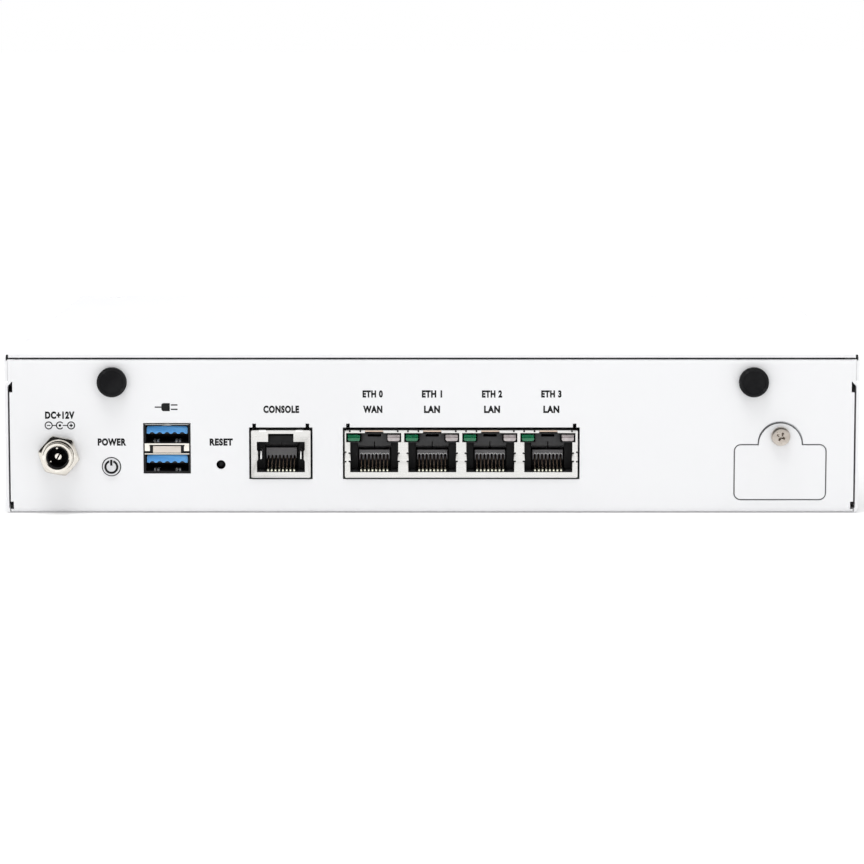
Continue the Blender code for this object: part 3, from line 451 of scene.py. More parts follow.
def stage():
    """Pale floor, soft studio light and a camera in front of the port panel, a little above it."""
    studio_floor()
    studio_sky()
    softbox("light_overhead", (-0.12, -0.3, 1.5), 0.9, 17)
    softbox("light_front", (-0.5, -1.6, 0.5), 0.7, 0.35)
    camera = added(bpy.data.objects.new("camera", bpy.data.cameras.new("camera")))
    rise = VIEW_DISTANCE * sin(VIEW_RISE)
    camera.location = (0, REAR - VIEW_DISTANCE * cos(VIEW_RISE), VIEW_AIM + rise)
    camera.rotation_euler = (pi / 2 - VIEW_RISE, 0, 0)
    camera.data.sensor_width = SENSOR
    camera.data.lens = SENSOR * VIEW_DISTANCE / VIEW_WIDTH
    camera.data.clip_start, camera.data.clip_end = 0.01, 100
    bpy.context.scene.camera = camera
    bpy.context.scene.view_settings.view_transform = "Standard"


def studio_floor():
    """Round floor, lit by the lamps near the object and by its own glow further out."""
    disc = alone(sweep, circle(0, 0, FLOOR_RADIUS, 96), "Z", *FLOOR_Z)
    paint = Shader("floor_paint", (0.8, 0.8, 0.8), 0.85, Emission_Strength=1.0)
    away = paint.node("VectorMath", Vector=paint.coordinates)
    away.operation = "LENGTH"
    share = paint.ramp(away.outputs["Value"], *FLOOR_FADE)
    paint.finish(Base_Color=paint.mix(share, (0.8, 0.8, 0.8), (0.5, 0.5, 0.5)))
    paint.finish(Emission_Color=paint.mix(share, (0.1, 0.1, 0.1), (0.66, 0.66, 0.66)))
    paint.finish(Roughness=paint.ramp(paint.noise(40), 0.3, 0.7, 0.8, 0.9))
    added(bpy.data.objects.new("floor", painted("floor", disc, paint.material)))


def studio_sky():
    """White sky that lights rough surfaces less, and that metal mirrors with a dark middle."""
    world = bpy.data.worlds.new("studio")
    world.use_nodes = True
    bpy.context.scene.world = world
    sky = Nodes(world.node_tree)
    towards = sky.node("VectorMath")
    towards.operation = "DOT_PRODUCT"
    sky.set(towards, {0: sky.node("TexCoord").outputs["Generated"], 1: SKY_TILT})
    dimmed = sky.ramp(towards.outputs["Value"], *SKY_DIM, 1.0, SKY_TOP)
    dimmed.node.interpolation_type = "SMOOTHSTEP"
    rays = sky.node("LightPath").outputs
    light = sky.node("Mix", Factor=rays["Is Diffuse Ray"], A=1.0, B=SKY_DIFFUSE).outputs["Result"]
    light = sky.node("Mix", Factor=rays["Is Glossy Ray"], A=light, B=dimmed).outputs["Result"]
    sky.set(sky.tree.nodes["Background"], {"Color": light, "Strength": 1.0})


def softbox(name, place, side, power):
    """Square area light that faces the middle of the object, and that metal doesn't mirror."""
    light = bpy.data.lights.new(name, "AREA")
    light.shape, light.size, light.energy = "SQUARE", side, power
    obj = added(bpy.data.objects.new(name, light))
    obj.location = place
    obj.rotation_mode = "QUATERNION"
    obj.rotation_quaternion = (Vector((0, 0, VIEW_AIM)) - Vector(place)).to_track_quat("-Z", "Y")
    obj.visible_glossy = False


# ---- case ----

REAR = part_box("base_tray")[0].y  # the port panel's outer face
FRONT = -REAR
TRAY_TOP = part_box("base_tray")[1].z
SHEET, SIDE_GAP = 0.8 * MM, 0.25 * MM
PANEL_TOP_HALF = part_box("base_tray")[1].x - 2 * SHEET - 2 * SIDE_GAP
PANEL_STEP = 35.75 * MM  # height above which the panels are narrower
HATCH_CORNER, HATCH_TAB = 1.6 * MM, 5.85 * MM  # radii
HATCH_PLATE = 14.75 * MM  # height of the hatch cover below its tab
BEND, BEND_KEPT = 1.5 * MM, 0.2  # zone of the tray's upper bends, and the share of their roundness that shows


def case():
    """Cover, tray and hatch cover, with what closes the seams between them: dark pieces that paint their
    shade, and white filler.
    """
    refined("top_cover", bevel=0.14 * MM)
    tray = refined("base_tray", bevel=0.14 * MM)
    for v in tray.data.vertices:
        out, up = abs(v.co.y) - (FRONT - BEND), v.co.z - (TRAY_TOP - BEND)
        if out > 0 and up > 0 and hypot(out, up) > BEND * 0.8:
            v.co.y = copysign(FRONT - (FRONT - abs(v.co.y)) * BEND_KEPT, v.co.y)
    refined("service_cover", bevel=0.2 * MM, steps=3)
    hatch_seam_shade()
    cover_gap_shade()
    cover_corner_shades()
    side_seams()


def hatch_seam_shade():
    """Painted shade: a thin dark bead in the seam around the hatch cover."""
    y = (REAR + 0.3 * MM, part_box("service_bracket")[0].y - 0.05 * MM)
    bead = alone(block, hatch_outline(0.27 * MM), [(hatch_outline(0.04 * MM), y[1])], "Y", *y)
    piece("service_seam_shade", bead, "seam_shade_grey", slot="black_rubber")


def cover_gap_shade():
    """Painted shade: dark strips on the panel flanges, just under the cover's two ends, that darken the gap
    under the cover.
    """
    bm = bmesh.new()
    for end in (-1, 1):
        y = (end * (FRONT - 1.15 * MM), end * (FRONT - 4 * MM))
        box(bm, about(0, 112 * MM), y, (TRAY_TOP + 0.02 * MM, TRAY_TOP + 0.42 * MM))
    piece("cover_gap_shade", bm, "black_rubber")


def cover_corner_shades():
    """Painted shade: dark blocks in the relief slits at the two corners of the cover above the port panel."""
    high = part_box("top_cover")[1]
    bm = bmesh.new()
    for side in (-1, 1):
        x = (side * (high.x - 1.05 * MM), side * (high.x - 0.45 * MM))
        box(bm, x, (0.15 * MM - high.y, 1.25 * MM - high.y), (high.z - 1.4 * MM, high.z - 0.08 * MM))
    piece("cover_corner_shades", bm, "black_rubber", "cover")


def side_seams():
    """White filler between the narrow upper part of each panel and the cover's sides."""
    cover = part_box("top_cover")[1].x
    bm = bmesh.new()
    for side in (-1, 1):
        for end in (-1, 1):
            x = (side * (PANEL_TOP_HALF - 0.1 * MM), side * (cover - SHEET - 0.06 * MM))
            y = (end * (FRONT - 0.05 * MM), end * (FRONT - 0.6 * MM))
            box(bm, x, y, (PANEL_STEP, TRAY_TOP))
    piece("side_seams", bm, "white_powder_coat")


def hatch_outline(grow):
    """The hatch cover's outline, grown by this much: a plate with rounded corners and a round tab on top."""
    low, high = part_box("service_cover")
    x, radius, tab = middle("service_cover").x, HATCH_CORNER + grow, HATCH_TAB + grow
    x0, x1, z0, z1 = low.x - grow, high.x + grow, low.z - grow, low.z + HATCH_PLATE + grow
    points = arc(x0 + radius, z0 + radius, radius, pi, 1.5 * pi, 8)
    points += arc(x1 - radius, z0 + radius, radius, -pi / 2, 0, 8)
    points += arc(x1 - radius, z1 - radius, radius, 0, pi / 2, 8) + [(x + tab, z1)]
    points += arc(x, high.z + grow - tab, tab, 0, pi, 32) + [(x - tab, z1)]
    return points + arc(x0 + radius, z1 - radius, radius, pi / 2, pi, 8)


# ---- screws and plugs ----

SHANK = 1.35 * MM
THREAD_DEPTH, THREAD_PITCH = 0.18 * MM, 0.5 * MM
RECESS_REACH, RECESS_DEPTH = 0.54, 0.8  # of the head's radius and height
RECESS_ARM, RECESS_TAPER = 0.2, 0.45  # half an arm's width to its length, and how far it narrows


def cross_recess(centre, axis, radius, depth, turned):
    """Cutter for a cross recess that narrows with depth, turned by an angle about the screw's axis."""
    arm = radius * RECESS_ARM
    corner = [(radius, -arm), (radius, arm), (arm * 1.5, arm * 1.5)]
    outline = []
    for quarter in range(4):
        rotation = Matrix.Rotation(turned + quarter * pi / 2, 2)
        outline += [tuple(rotation @ Vector(point)) for point in corner]
    bm = bmesh.new()
    sweep(bm, outline, "Z", -0.3 * MM, depth)
    bmesh.ops.scale(bm, vec=(RECESS_TAPER, RECESS_TAPER, 1), verts=[v for v in bm.verts if v.co.z > 0])
    facing = {"Y": Matrix.Rotation(-pi / 2, 4, "X"), "Z": Matrix.Rotation(pi, 4, "X")}[axis]
    bm.transform(Matrix.Translation(centre) @ facing)
    return bm


def screw(node, axis, height, turned, flat=False):
    """Cross-recess screw in the place of a CAD node, with a head of this height."""
    low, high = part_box(node)
    radius, origin = (high.x - low.x) / 2, (low + high) / 2
    top, tip = (low.y, high.y) if axis == "Y" else (high.z, low.z)
    origin["XYZ".index(axis)] = top
    if flat:
        profile = [(0, 0), (radius - 0.12 * MM, 0), (radius, 0.12 * MM), (radius, 0.25 * MM), (SHANK, height)]
    else:
        curve = radius * 0.24
        profile = [(0, 0), (radius * 0.45, 0.02 * MM)]
        profile += arc(radius - curve, 0.07 * MM + curve, curve, -pi / 2, 0, 6)
        profile += [(radius, height - 0.1 * MM), (radius - 0.1 * MM, height), (SHANK, height)]
    place, end = height + 0.2 * MM, abs(tip - top)
    while place < end - 0.6 * MM:
        profile += [(SHANK, place), (SHANK - THREAD_DEPTH, place + THREAD_PITCH / 2)]
        place += THREAD_PITCH
    profile += [(SHANK - 0.3 * MM, end), (0, end)]
    bm = bmesh.new()
    turn(bm, [(r, copysign(place, tip - top)) for r, place in profile], axis, origin, 40)
    cut = cross_recess(origin, axis, radius * RECESS_REACH, height * RECESS_DEPTH, turned)
    piece(node + "_cut", carved(bm, cut), SLOT_OF[node], BODY_OF[node], [node])


def screws():
    """The hatch's screw, and the cover's and the board's four each, all stopped at different angles."""
    screw("service_cover_screw", "Y", 1.6 * MM, radians(28))
    for number in (1, 2, 3, 4):
        screw(f"cover_screw_{number}", "Z", 1.4 * MM, radians(17 + 31 * number), flat=True)
        screw(f"board_screw_{number}", "Z", 1.6 * MM, radians(40 + 23 * number))


def plugs():
    """Rubber plugs: a low dome inside a raised rim, on a plain stem."""
    for node in ("antenna_plug_left", "antenna_plug_right"):
        x, z, radius, front, back = round_node(node)
        panel, stem, lip = REAR - 0.3 * MM, radius * 0.716, radius * 0.13
        shares = [(0, 0.12), (0.45, 0.13), (0.76, 0.22), (0.8, 0.06), (0.86, 0)]
        profile = [(radius * share, front + sunk * MM) for share, sunk in shares]
        profile += arc(radius * 0.87, front + lip, lip, -pi / 2, 0, 5)[1:]
        profile += [(radius, panel - 0.15 * MM), (radius - 0.15 * MM, panel), (stem, panel)]
        profile += [(stem, back - 0.8 * MM), (stem * 0.82, back), (0, back)]
        piece(node + "_moulding", lathe(profile, x, z, 72), "black_rubber", BODY_OF[node], [node])


# ---- lettering ----

INK = 0.02 * MM
LETTER_WEIGHT, LETTER_DEPTH, LETTER_SPACING = 0.058, 0.01, 1.14
LABEL_Z, USE_Z, PORT_Z = 19.35, 28.3, 32.5  # heights of the rows of words, in millimetres


def lettering(name, text, x, z, width, cap):
    """Printed capitals of this width and height, centred on a point of the port panel."""
    curve = bpy.data.curves.new(name, "FONT")
    curve.body, curve.size, curve.resolution_u = text, 1.0, 4
    curve.offset, curve.extrude, curve.space_character = LETTER_WEIGHT, LETTER_DEPTH, LETTER_SPACING
    obj = added(bpy.data.objects.new(name, curve))
    bpy.context.view_layer.update()
    mesh = bpy.data.meshes.new_from_object(obj.evaluated_get(bpy.context.evaluated_depsgraph_get()))
    bm = bmesh.new()
    bm.from_mesh(mesh)
    bpy.data.objects.remove(obj)
    bpy.data.curves.remove(curve)
    bpy.data.meshes.remove(mesh)
    spans = [[f(v.co[i] for v in bm.verts) for f in (min, max)] for i in range(3)]
    for v in bm.verts:
        right, up, out = [(v.co[i] - low) / (high - low) for i, (low, high) in enumerate(spans)]
        v.co = (x + (right - 0.5) * width, REAR - out * INK, z + (up - 0.5) * cap)
    bmesh.ops.remove_doubles(bm, verts=bm.verts[:], dist=WELD)
    piece(name, bm, "black_ink", slot="black_plastic")


def printed(name, shapes, body="chassis", face=REAR):
    """Flat printed shapes, each (outline, holes), on the port panel or on another face."""
    bm = bmesh.new()
    for outline, holes in shapes:
        block(bm, outline, [(hole, face) for hole in holes], "Y", face - INK, face)
    piece(name, bm, "black_ink", body, slot="black_plastic")


def ring(x, z, outer, stroke, start=0.0, end=2 * pi, steps=40):
    """A stroke along a circle, closed or open."""
    if end - start > 2 * pi - 0.01:
        return circle(x, z, outer, steps), [circle(x, z, outer - stroke, steps)]
    return arc(x, z, outer, start, end, steps) + arc(x, z, outer - stroke, end, start, steps), []


def bar(x, z):
    return rectangle(x, z), []


def labels():
    """Words on the port panel, each with its middle, width and height in millimetres, and the signs."""
    words = {
        "label_supply": ("DC+12V", -101.1, 26.7, 8.0, 2.05),
        "label_power": ("POWER", -87.0, LABEL_Z, 7.75, 2.05),
        "label_reset": ("RESET", -57.3, LABEL_Z, 6.3, 2.0),
        "label_console": ("CONSOLE", -40.95, USE_Z, 9.7, 2.06),
    }
    for port, x in enumerate((-16.1, 0.0, 16.3, 32.4)):
        use, width = ("LAN", 4.35) if port else ("WAN", 5.25)
        words[f"label_port_{port}"] = (f"ETH {port}", x, PORT_Z, 5.5, 2.0)
        words[f"label_use_{port}"] = (use, x, USE_Z, width, 2.0)
    for name, (text, *sizes) in words.items():
        lettering(name, text, *[size * MM for size in sizes])
    polarity_signs()
    socket_sign()


def polarity_signs():
    """Minus and plus in rings, each joined to the sign of the inlet: a dot inside a broken ring."""
    x, z, radius, stroke = -101.1 * MM, 23.9 * MM, 1.1 * MM, 0.3 * MM
    step, gap, half, thin = 3.05 * MM, radians(38), 0.48 * MM, 0.13 * MM
    minus, plus, thick = x - step, x + step, thin * 1.3
    shapes = [ring(minus, z, radius, stroke), ring(plus, z, radius, stroke)]
    shapes += [ring(x, z, radius, stroke, gap, 2 * pi - gap), (circle(x, z, 0.36 * MM, 20), [])]
    shapes += [bar(about(minus, half), about(z, thin)), bar(about(plus, half), about(z, thick))]
    shapes.append(bar(about(plus, thick), about(z, half)))
    for ends in ((minus + radius, x - radius), (x + radius * 0.72, plus - radius)):
        shapes.append(bar(ends, about(z, thin)))
    printed("polarity_signs", shapes)


def socket_sign():
    """A plain cable end: lead, body and two prongs."""
    x, z, line = -72.0 * MM, 28.9 * MM, 0.17 * MM
    body = arc(x - 0.9 * MM, z + 0.5 * MM, 0.6 * MM, pi / 2, pi, 6)
    body += arc(x - 0.9 * MM, z - 0.5 * MM, 0.6 * MM, pi, 1.5 * pi, 6)
    body += [(x + 0.8 * MM, z - 1.1 * MM), (x + 0.8 * MM, z + 1.1 * MM)]
    shapes = [(body, []), bar((x - 3.3 * MM, x - 1.5 * MM), about(z, line))]
    for prong in about(z, 0.6 * MM):
        shapes.append(bar((x + 1.1 * MM, x + 2.9 * MM), about(prong, line)))
    printed("socket_sign", shapes)


# ---- power inlet and keys ----


def power_inlet():
    """Barrel, nut and split pin, with a black sleeve and two springs inside the bore."""
    threaded_barrel()
    hexagon_nut()
    x, z, radius, tip, foot = round_node("dc_jack_pin")
    split, turned = 0.13 * MM, radians(62)
    bm = bmesh.new()
    for start in (turned, turned + pi):
        edge = Vector((cos(start + pi / 2), sin(start + pi / 2))) * split
        sweep(bm, arc(x + edge.x, z + edge.y, radius - split, start, start + pi, 20), "Y", tip, foot)
    piece("dc_jack_split_pin", bm, "bright_nickel", replaces=["dc_jack_pin"], bevel=0.2 * MM, steps=3)

    bore, barrel_front = 3.0 * MM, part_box("dc_jack_body")[0].y
    front, floor = barrel_front + 0.35 * MM, barrel_front + 12.4 * MM
    sleeve = [(bore, front), (bore, floor), (0, floor), (0, floor - 0.6 * MM), (bore * 0.9, floor - 0.6 * MM)]
    sleeve += [(bore * 0.9, front + 0.2 * MM), (bore * 0.96, front)]
    piece("dc_jack_sleeve", lathe(sleeve, x, z, 48), "black_plastic")
    bm = bmesh.new()
    for angle, width in ((radians(96), 0.75 * MM), (radians(212), 0.6 * MM)):
        ends = [(x + r * cos(angle), z + r * sin(angle)) for r in (bore * 0.7, bore * 0.93)]
        sweep(bm, strip(ends, width), "Y", front + 1.4 * MM, front + 7 * MM)
    piece("dc_jack_springs", bm, "bright_nickel", bevel=0.18 * MM, steps=3)


def threaded_barrel():
    x, z, body, front, back = round_node("dc_jack_body")
    barrel, bore, pitch, floor = 4.1 * MM, 3.025 * MM, 0.7 * MM, front + 12.5 * MM
    root, tip, shoulder = barrel - 0.32 * MM, barrel - 0.12 * MM, REAR + 1.1 * MM
    profile = [(0, back), (body - 0.3 * MM, back), (body, back - 0.3 * MM)]
    profile += [(body, shoulder + 0.2 * MM), (body - 0.2 * MM, shoulder), (barrel, shoulder)]
    y, groove = shoulder - 0.3 * MM, [(barrel, 0), (root, 0.45), (root, 0.5), (barrel, 0.95)]
    while y > front + 1.2 * MM:
        profile += [(radius, y - pitch * share) for radius, share in groove]
        y -= pitch
    profile += [(root, front + 0.75 * MM), (root, front + 0.55 * MM), (tip, front + 0.4 * MM)]
    profile += [(tip, front + 0.16 * MM), (barrel - 0.28 * MM, front), (bore + 0.3 * MM, front)]
    profile += [(bore + 0.05 * MM, front + 0.22 * MM), (bore, front + 0.4 * MM), (bore, floor), (0, floor)]
    piece("dc_jack_barrel", lathe(profile, x, z, 72), "bright_nickel", replaces=["dc_jack_body"])


def hexagon_nut():
    """Nut with a chamfered front, so that each flat ends in a curve."""
    x, z, corner, front, back = round_node("dc_jack_nut")
    flat, thread, slope = corner * cos(pi / 6), 4.15 * MM, tan(radians(38))
    face, widest, steps, turned = flat * 0.92, corner * 0.985, 96, radians(49)
    rings = [[], [], [], [], []]
    for i in range(steps):
        angle = 2 * pi * i / steps
        edge = min(widest, flat / cos((angle - turned) % (pi / 3) - pi / 6))
        chamfer = front + (edge - face) * slope
        places = [(thread, front), (face, front), (edge, chamfer), (edge, back), (thread, back)]
        for verts, (radius, y) in zip(rings, places):
            verts.append((x + radius * cos(angle), y, z + radius * sin(angle)))
    bm = bmesh.new()
    loops = [[bm.verts.new(point) for point in points] for points in rings]
    for first, second in zip(loops, loops[1:] + loops[:1]):
        for i in range(steps):
            bm.faces.new((first[i - 1], first[i], second[i], second[i - 1]))
    piece("dc_jack_hexagon", bm, "bright_nickel", replaces=["dc_jack_nut"], bevel=0.05 * MM, steps=1)


def power_key():
    """Round key with the standby sign, in a dark guide."""
    x, z, radius, front, back = round_node("power_button")
    dome, edge, gap = 0.04 * MM, 0.25 * MM, radians(20)
    profile = [(0, front), (radius * 0.8, front + dome)]
    profile += arc(radius - edge, front + dome + edge, edge, -pi / 2, 0, 5) + [(radius, back), (0, back)]
    piece("power_key_cap", lathe(profile, x, z, 64), "grey_plastic", "power_key", ["power_button"])
    guide = rectangle((radius + 0.03 * MM, radius + 0.29 * MM), (REAR + 0.05 * MM, REAR + 1.4 * MM))
    piece("power_key_guide", lathe(guide, x, z, 64), "black_rubber")
    sign = [ring(x, z, 1.9 * MM, 0.58 * MM, pi / 2 + gap, 2.5 * pi - gap)]
    sign.append(bar(about(x, 0.3 * MM), (z + 0.35 * MM, z + 1.95 * MM)))
    printed("power_sign", sign, "power_key", front + 0.01 * MM)


def reset_key():
    x, z, radius, front, back = round_node("reset_button")
    angles = [pi / 12 * i for i in range(7)]
    profile = [(radius * sin(a), front + radius * 0.5 * (1 - cos(a))) for a in angles]
    profile += [(radius, back), (0, back)]
    piece("reset_plunger", lathe(profile, x, z, 40), "black_plastic", "reset_key", ["reset_button"])


# ---- modular jacks ----

CONTACT_PITCH, CONTACTS = 1.016 * MM, 8
CONTACT_REACH = (CONTACTS - 1) / 2 * CONTACT_PITCH  # from a socket's middle to its outermost contact
MOUTH_HALF, MOUTH_LOW, MOUTH_HIGH = 6.52 * MM, 11.15 * MM, 19.45 * MM
LATCH_HALF, LATCH_TOP = 3.45 * MM, 21.65 * MM
MOUTH_FLOOR, CORE_SUNK = 13 * MM, 4.6 * MM  # depths of the mouth and of the core inside it
SHIELD = 0.3 * MM


def mirrored(x, right):
    """Outline from its right half, listed upwards as (distance from the middle x, height)."""
    return [(x + dx, z) for dx, z in right] + [(x - dx, z) for dx, z in reversed(right)]


def console_mouth(x):
    """Stepped opening whose sides bulge in where the grounding springs are formed."""
    bulge = [(MOUTH_HALF, 14.1 * MM), (MOUTH_HALF - 0.3 * MM, 14.6 * MM)]
    bulge += [(MOUTH_HALF - 0.3 * MM, 16.8 * MM), (MOUTH_HALF, 17.3 * MM)]
    step = [(MOUTH_HALF, MOUTH_HIGH), (LATCH_HALF, MOUTH_HIGH), (LATCH_HALF, LATCH_TOP)]
    return mirrored(x, [(MOUTH_HALF, MOUTH_LOW), *bulge, *step])


def lan_mouth(x):
    """Opening with room for a lamp in each upper corner, and nicks at both ends of the side springs."""
    right = [(MOUTH_HALF, MOUTH_LOW)]
    for low, high in ((13.85, 14.3), (16.1, 16.55)):
        right += [(MOUTH_HALF, low * MM), (MOUTH_HALF + 0.45 * MM, (low + 0.05) * MM)]
        right += [(MOUTH_HALF + 0.45 * MM, high * MM), (MOUTH_HALF - 0.12 * MM, high * MM)]
    step, lamp_side, top = MOUTH_HIGH - 0.1 * MM, 7.62 * MM, 21.85 * MM
    right += [(MOUTH_HALF, 16.75 * MM), (MOUTH_HALF, step), (lamp_side, step)]
    right += [(lamp_side, top), (2.5 * MM, top), (2.5 * MM, top + 0.45 * MM)]
    return [(min(place, x + 7.35 * MM), z) for place, z in mirrored(x, right)]


def can_outline(low, high, ticks, side_ticks):
    """Face of a can: rounded corners and small nicks in its top and side edges."""
    r, nick, deep = 0.4 * MM, 0.42 * MM, 0.5 * MM
    outline = arc(low.x + r, low.z + r, r, pi, 1.5 * pi, 4) + arc(high.x - r, low.z + r, r, -pi / 2, 0, 4)
    for z in side_ticks:
        outline += [(high.x, z), (high.x - nick, z), (high.x - nick, z + nick), (high.x, z + nick)]
    outline += arc(high.x - r, high.z - r, r, 0, pi / 2, 4)
    for x in sorted(ticks, reverse=True):
        left, right = about(x, nick / 2)
        outline += [(right, high.z), (right, high.z - deep), (left, high.z - deep), (left, high.z)]
    outline += arc(low.x + r, high.z - r, r, pi / 2, pi, 4)
    for z in reversed(side_ticks):
        outline += [(low.x, z + nick), (low.x + nick, z + nick), (low.x + nick, z), (low.x, z)]
    return outline


def can(node, mouths, pads=(), ticks=(), side_ticks=()):
    """Stamped shield: a face with mouths, folded walls, and two ribs across its roof."""
    low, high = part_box(node)
    front, back, roof = low.y, high.y, high.z - SHIELD
    left, right = low.x + SHIELD, high.x - SHIELD
    bm = bmesh.new()
    holes = [(mouth, front + SHIELD) for mouth in mouths]
    block(bm, can_outline(low, high, ticks, side_ticks), holes, "Y", front, front + SHIELD)
    round_edges(bm, 0.07 * MM)
    walls = [(low.x, low.z), (left, low.z), (left, roof), (right, roof), (right, low.z), (high.x, low.z)]
    walls += arc(right, roof, SHIELD, 0, pi / 2, 4) + arc(left, roof, SHIELD, pi / 2, pi, 4)
    sweep(bm, walls, "Y", front + 1.2 * MM, back - SHIELD)
    box(bm, (low.x + 0.1 * MM, high.x - 0.1 * MM), (back - SHIELD, back), (low.z, high.z - 0.1 * MM))
    for y in (front + 7 * MM, back - 4 * MM):
        rib = arc(y, high.z - 0.35 * MM, 0.6 * MM, radians(35), radians(145), 6)
        sweep(bm, rib, "X", low.x + 1.5 * MM, high.x - 1.5 * MM)
    piece(node + "_stamping", bm, "tinned_steel", replaces=[node])
    can_trim(node, low, high, mouths, pads)


def can_trim(node, low, high, mouths, pads):
    """Painted highlights on the lower edge of a can's face and on pads at (x, width) on its top edge, and a
    black sheet behind the face that paints the shade in its nicks and gaps.
    """
    front = low.y
    bm = bmesh.new()
    # painted highlights: pads and lower edge in near-white tin
    for x, width in pads:
        y, z = (front - 0.12 * MM, front + 0.3 * MM), (high.z - 0.42 * MM, high.z + 0.14 * MM)
        box(bm, about(x, width / 2), y, z)
    edge = about(low.z + 0.09 * MM, 0.06 * MM)
    box(bm, (low.x + 0.5 * MM, high.x - 0.5 * MM), (front - 0.04 * MM, front + 0.1 * MM), edge)
    piece(node + "_pads", bm, "tin_painted_highlight", slot="tinned_steel", bevel=0.08 * MM)
    # painted shade: black sheet just behind the face
    y = (front + SHIELD + 0.01 * MM, front + 0.55 * MM)
    inner = rectangle((low.x + 0.08 * MM, high.x - 0.08 * MM), (low.z - 0.2 * MM, high.z + 0.03 * MM))
    shade_sheet = alone(block, inner, [(mouth, y[1]) for mouth in mouths], "Y", *y)
    piece(node + "_lining", shade_sheet, "black_plastic")


def jack(node, lamps):
    """Moulded socket with a stepped mouth, and pockets for lamps where it has them."""
    low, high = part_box(node)
    x, front, floor = middle(node).x, low.y, low.y + MOUTH_FLOOR
    step = MOUTH_HIGH - (0.3 * MM if lamps else 0)
    mouth = [(MOUTH_HALF, MOUTH_LOW), (MOUTH_HALF, step), (LATCH_HALF, step), (LATCH_HALF, LATCH_TOP)]
    holes = [(mirrored(x, mouth), floor)]
    for left, right in ((-7.55, -3.55), (3.5, 7.4)) if lamps else ():
        pocket = rectangle((x + left * MM, x + right * MM), (MOUTH_HIGH, 21.75 * MM))
        holes.append((pocket, front + 7.3 * MM))
    housing = alone(block, rectangle((low.x, high.x), (low.z, high.z)), holes, "Y", front, high.y)
    piece(node + "_housing", housing, "black_plastic", replaces=[node], bevel=0.08 * MM)
    jack_core(node, x, front + CORE_SUNK, floor, lamps)
    bm = bmesh.new()
    for side in (-1, 1):
        wall, rail = (x + side * 4.5 * MM, x + side * MOUTH_HALF), (x + side * 4.6 * MM, x + side * 6.3 * MM)
        box(bm, wall, (front + CORE_SUNK + 2 * MM, floor), (MOUTH_LOW, step))
        box(bm, rail, (front + 0.5 * MM, front + 2.5 * MM), (MOUTH_LOW - 0.1 * MM, MOUTH_LOW + 0.4 * MM))
    piece(node + "_walls", bm, "black_plastic", bevel=0.1 * MM)
    places = [x - CONTACT_REACH + i * CONTACT_PITCH for i in range(CONTACTS)]
    jack_comb(node, x, places, front + CORE_SUNK, floor, lamps)
    jack_contacts(node, places, front, floor)


def jack_core(node, x, front, floor, lamps):
    """Core that fills the upper back of the mouth. Between lamps it is split and has a slot."""
    low, high, split = (17.2 * MM, 21.1 * MM, 0.12 * MM) if lamps else (17.5 * MM, 20.6 * MM, 0)
    shelf = 19 * MM
    profile = [(front, low + 0.6 * MM), (front + 0.7 * MM, low), (floor, low), (floor, shelf), (front, shelf)]
    bm = bmesh.new()
    for side in (-1, 1):
        sweep(bm, profile, "X", x + side * split, x + side * 4.5 * MM)
    slots = [(rectangle(about(x, 1.8 * MM), (20.3 * MM, 20.95 * MM)), floor)] if lamps else []
    outline = rectangle(about(x, LATCH_HALF - 0.05 * MM), (18.9 * MM, high))
    block(bm, outline, slots, "Y", front, floor)
    material = "socket_grey" if lamps else "black_plastic"
    piece(node + "_core", bm, material, slot="black_plastic", bevel=0.1 * MM)


def jack_comb(node, x, places, front, floor, lamps):
    """Comb with a round-topped slot around each contact. Between lamps the slots have pale rims, a painted
    highlight.
    """
    top, crown, foot = (16.6 * MM, 15.3 * MM, 13.9 * MM) if lamps else (17.2 * MM, 14.85 * MM, 14.25 * MM)
    (left, right), groove, edge = about(x, CONTACT_REACH + 0.6 * MM), 0.27 * MM, 0.2 * MM
    outline = [(left, foot), (left, top), (right, top), (right, foot)]
    for place in reversed(places):
        outline += [(place + groove, foot)] + arc(place, crown, groove, 0, pi, 6) + [(place - groove, foot)]
    comb = alone(block, outline, [], "Y", front + 0.5 * MM, floor)
    piece(node + "_comb", comb, "comb_grey", slot="grey_plastic", bevel=0.12 * MM)
    if lamps:
        bm = bmesh.new()
        for place in places:
            outline, _ = ring(place, crown, groove + edge, edge, 0, pi, 10)
            sweep(bm, outline, "Y", front + 0.3 * MM, front + 0.6 * MM)
        piece(node + "_comb_edges", bm, "comb_painted_highlight", slot="grey_plastic", bevel=0.03 * MM, steps=1)


def jack_contacts(node, places, front, floor):
    """Sprung contacts: noses at the mouth's lower edge, brighter as a painted highlight, and wires that rise
    to its floor, darker as painted shade.
    """
    nose = arc(front + 1.35 * MM, MOUTH_LOW + 0.4 * MM, 0.6 * MM, pi, radians(112), 6)
    tip = strip([(front + 0.75 * MM, MOUTH_LOW - 0.15 * MM)] + nose, 0.2 * MM)
    wire = [nose[-1], (front + 5.2 * MM, MOUTH_LOW + 3.0 * MM), (floor, MOUTH_LOW + 5.2 * MM)]
    wires, tips = bmesh.new(), bmesh.new()
    for place in places:
        sweep(tips, tip, "X", *about(place, 0.25 * MM))
        sweep(wires, strip(wire, 0.14 * MM), "X", *about(place, 0.15 * MM))
    piece(node + "_contacts", wires, "metal_painted_shade", slot="brass", bevel=0.03 * MM, steps=1)
    piece(node + "_contact_tips", tips, "gold_painted_highlight", slot="brass", bevel=0.05 * MM, steps=1)


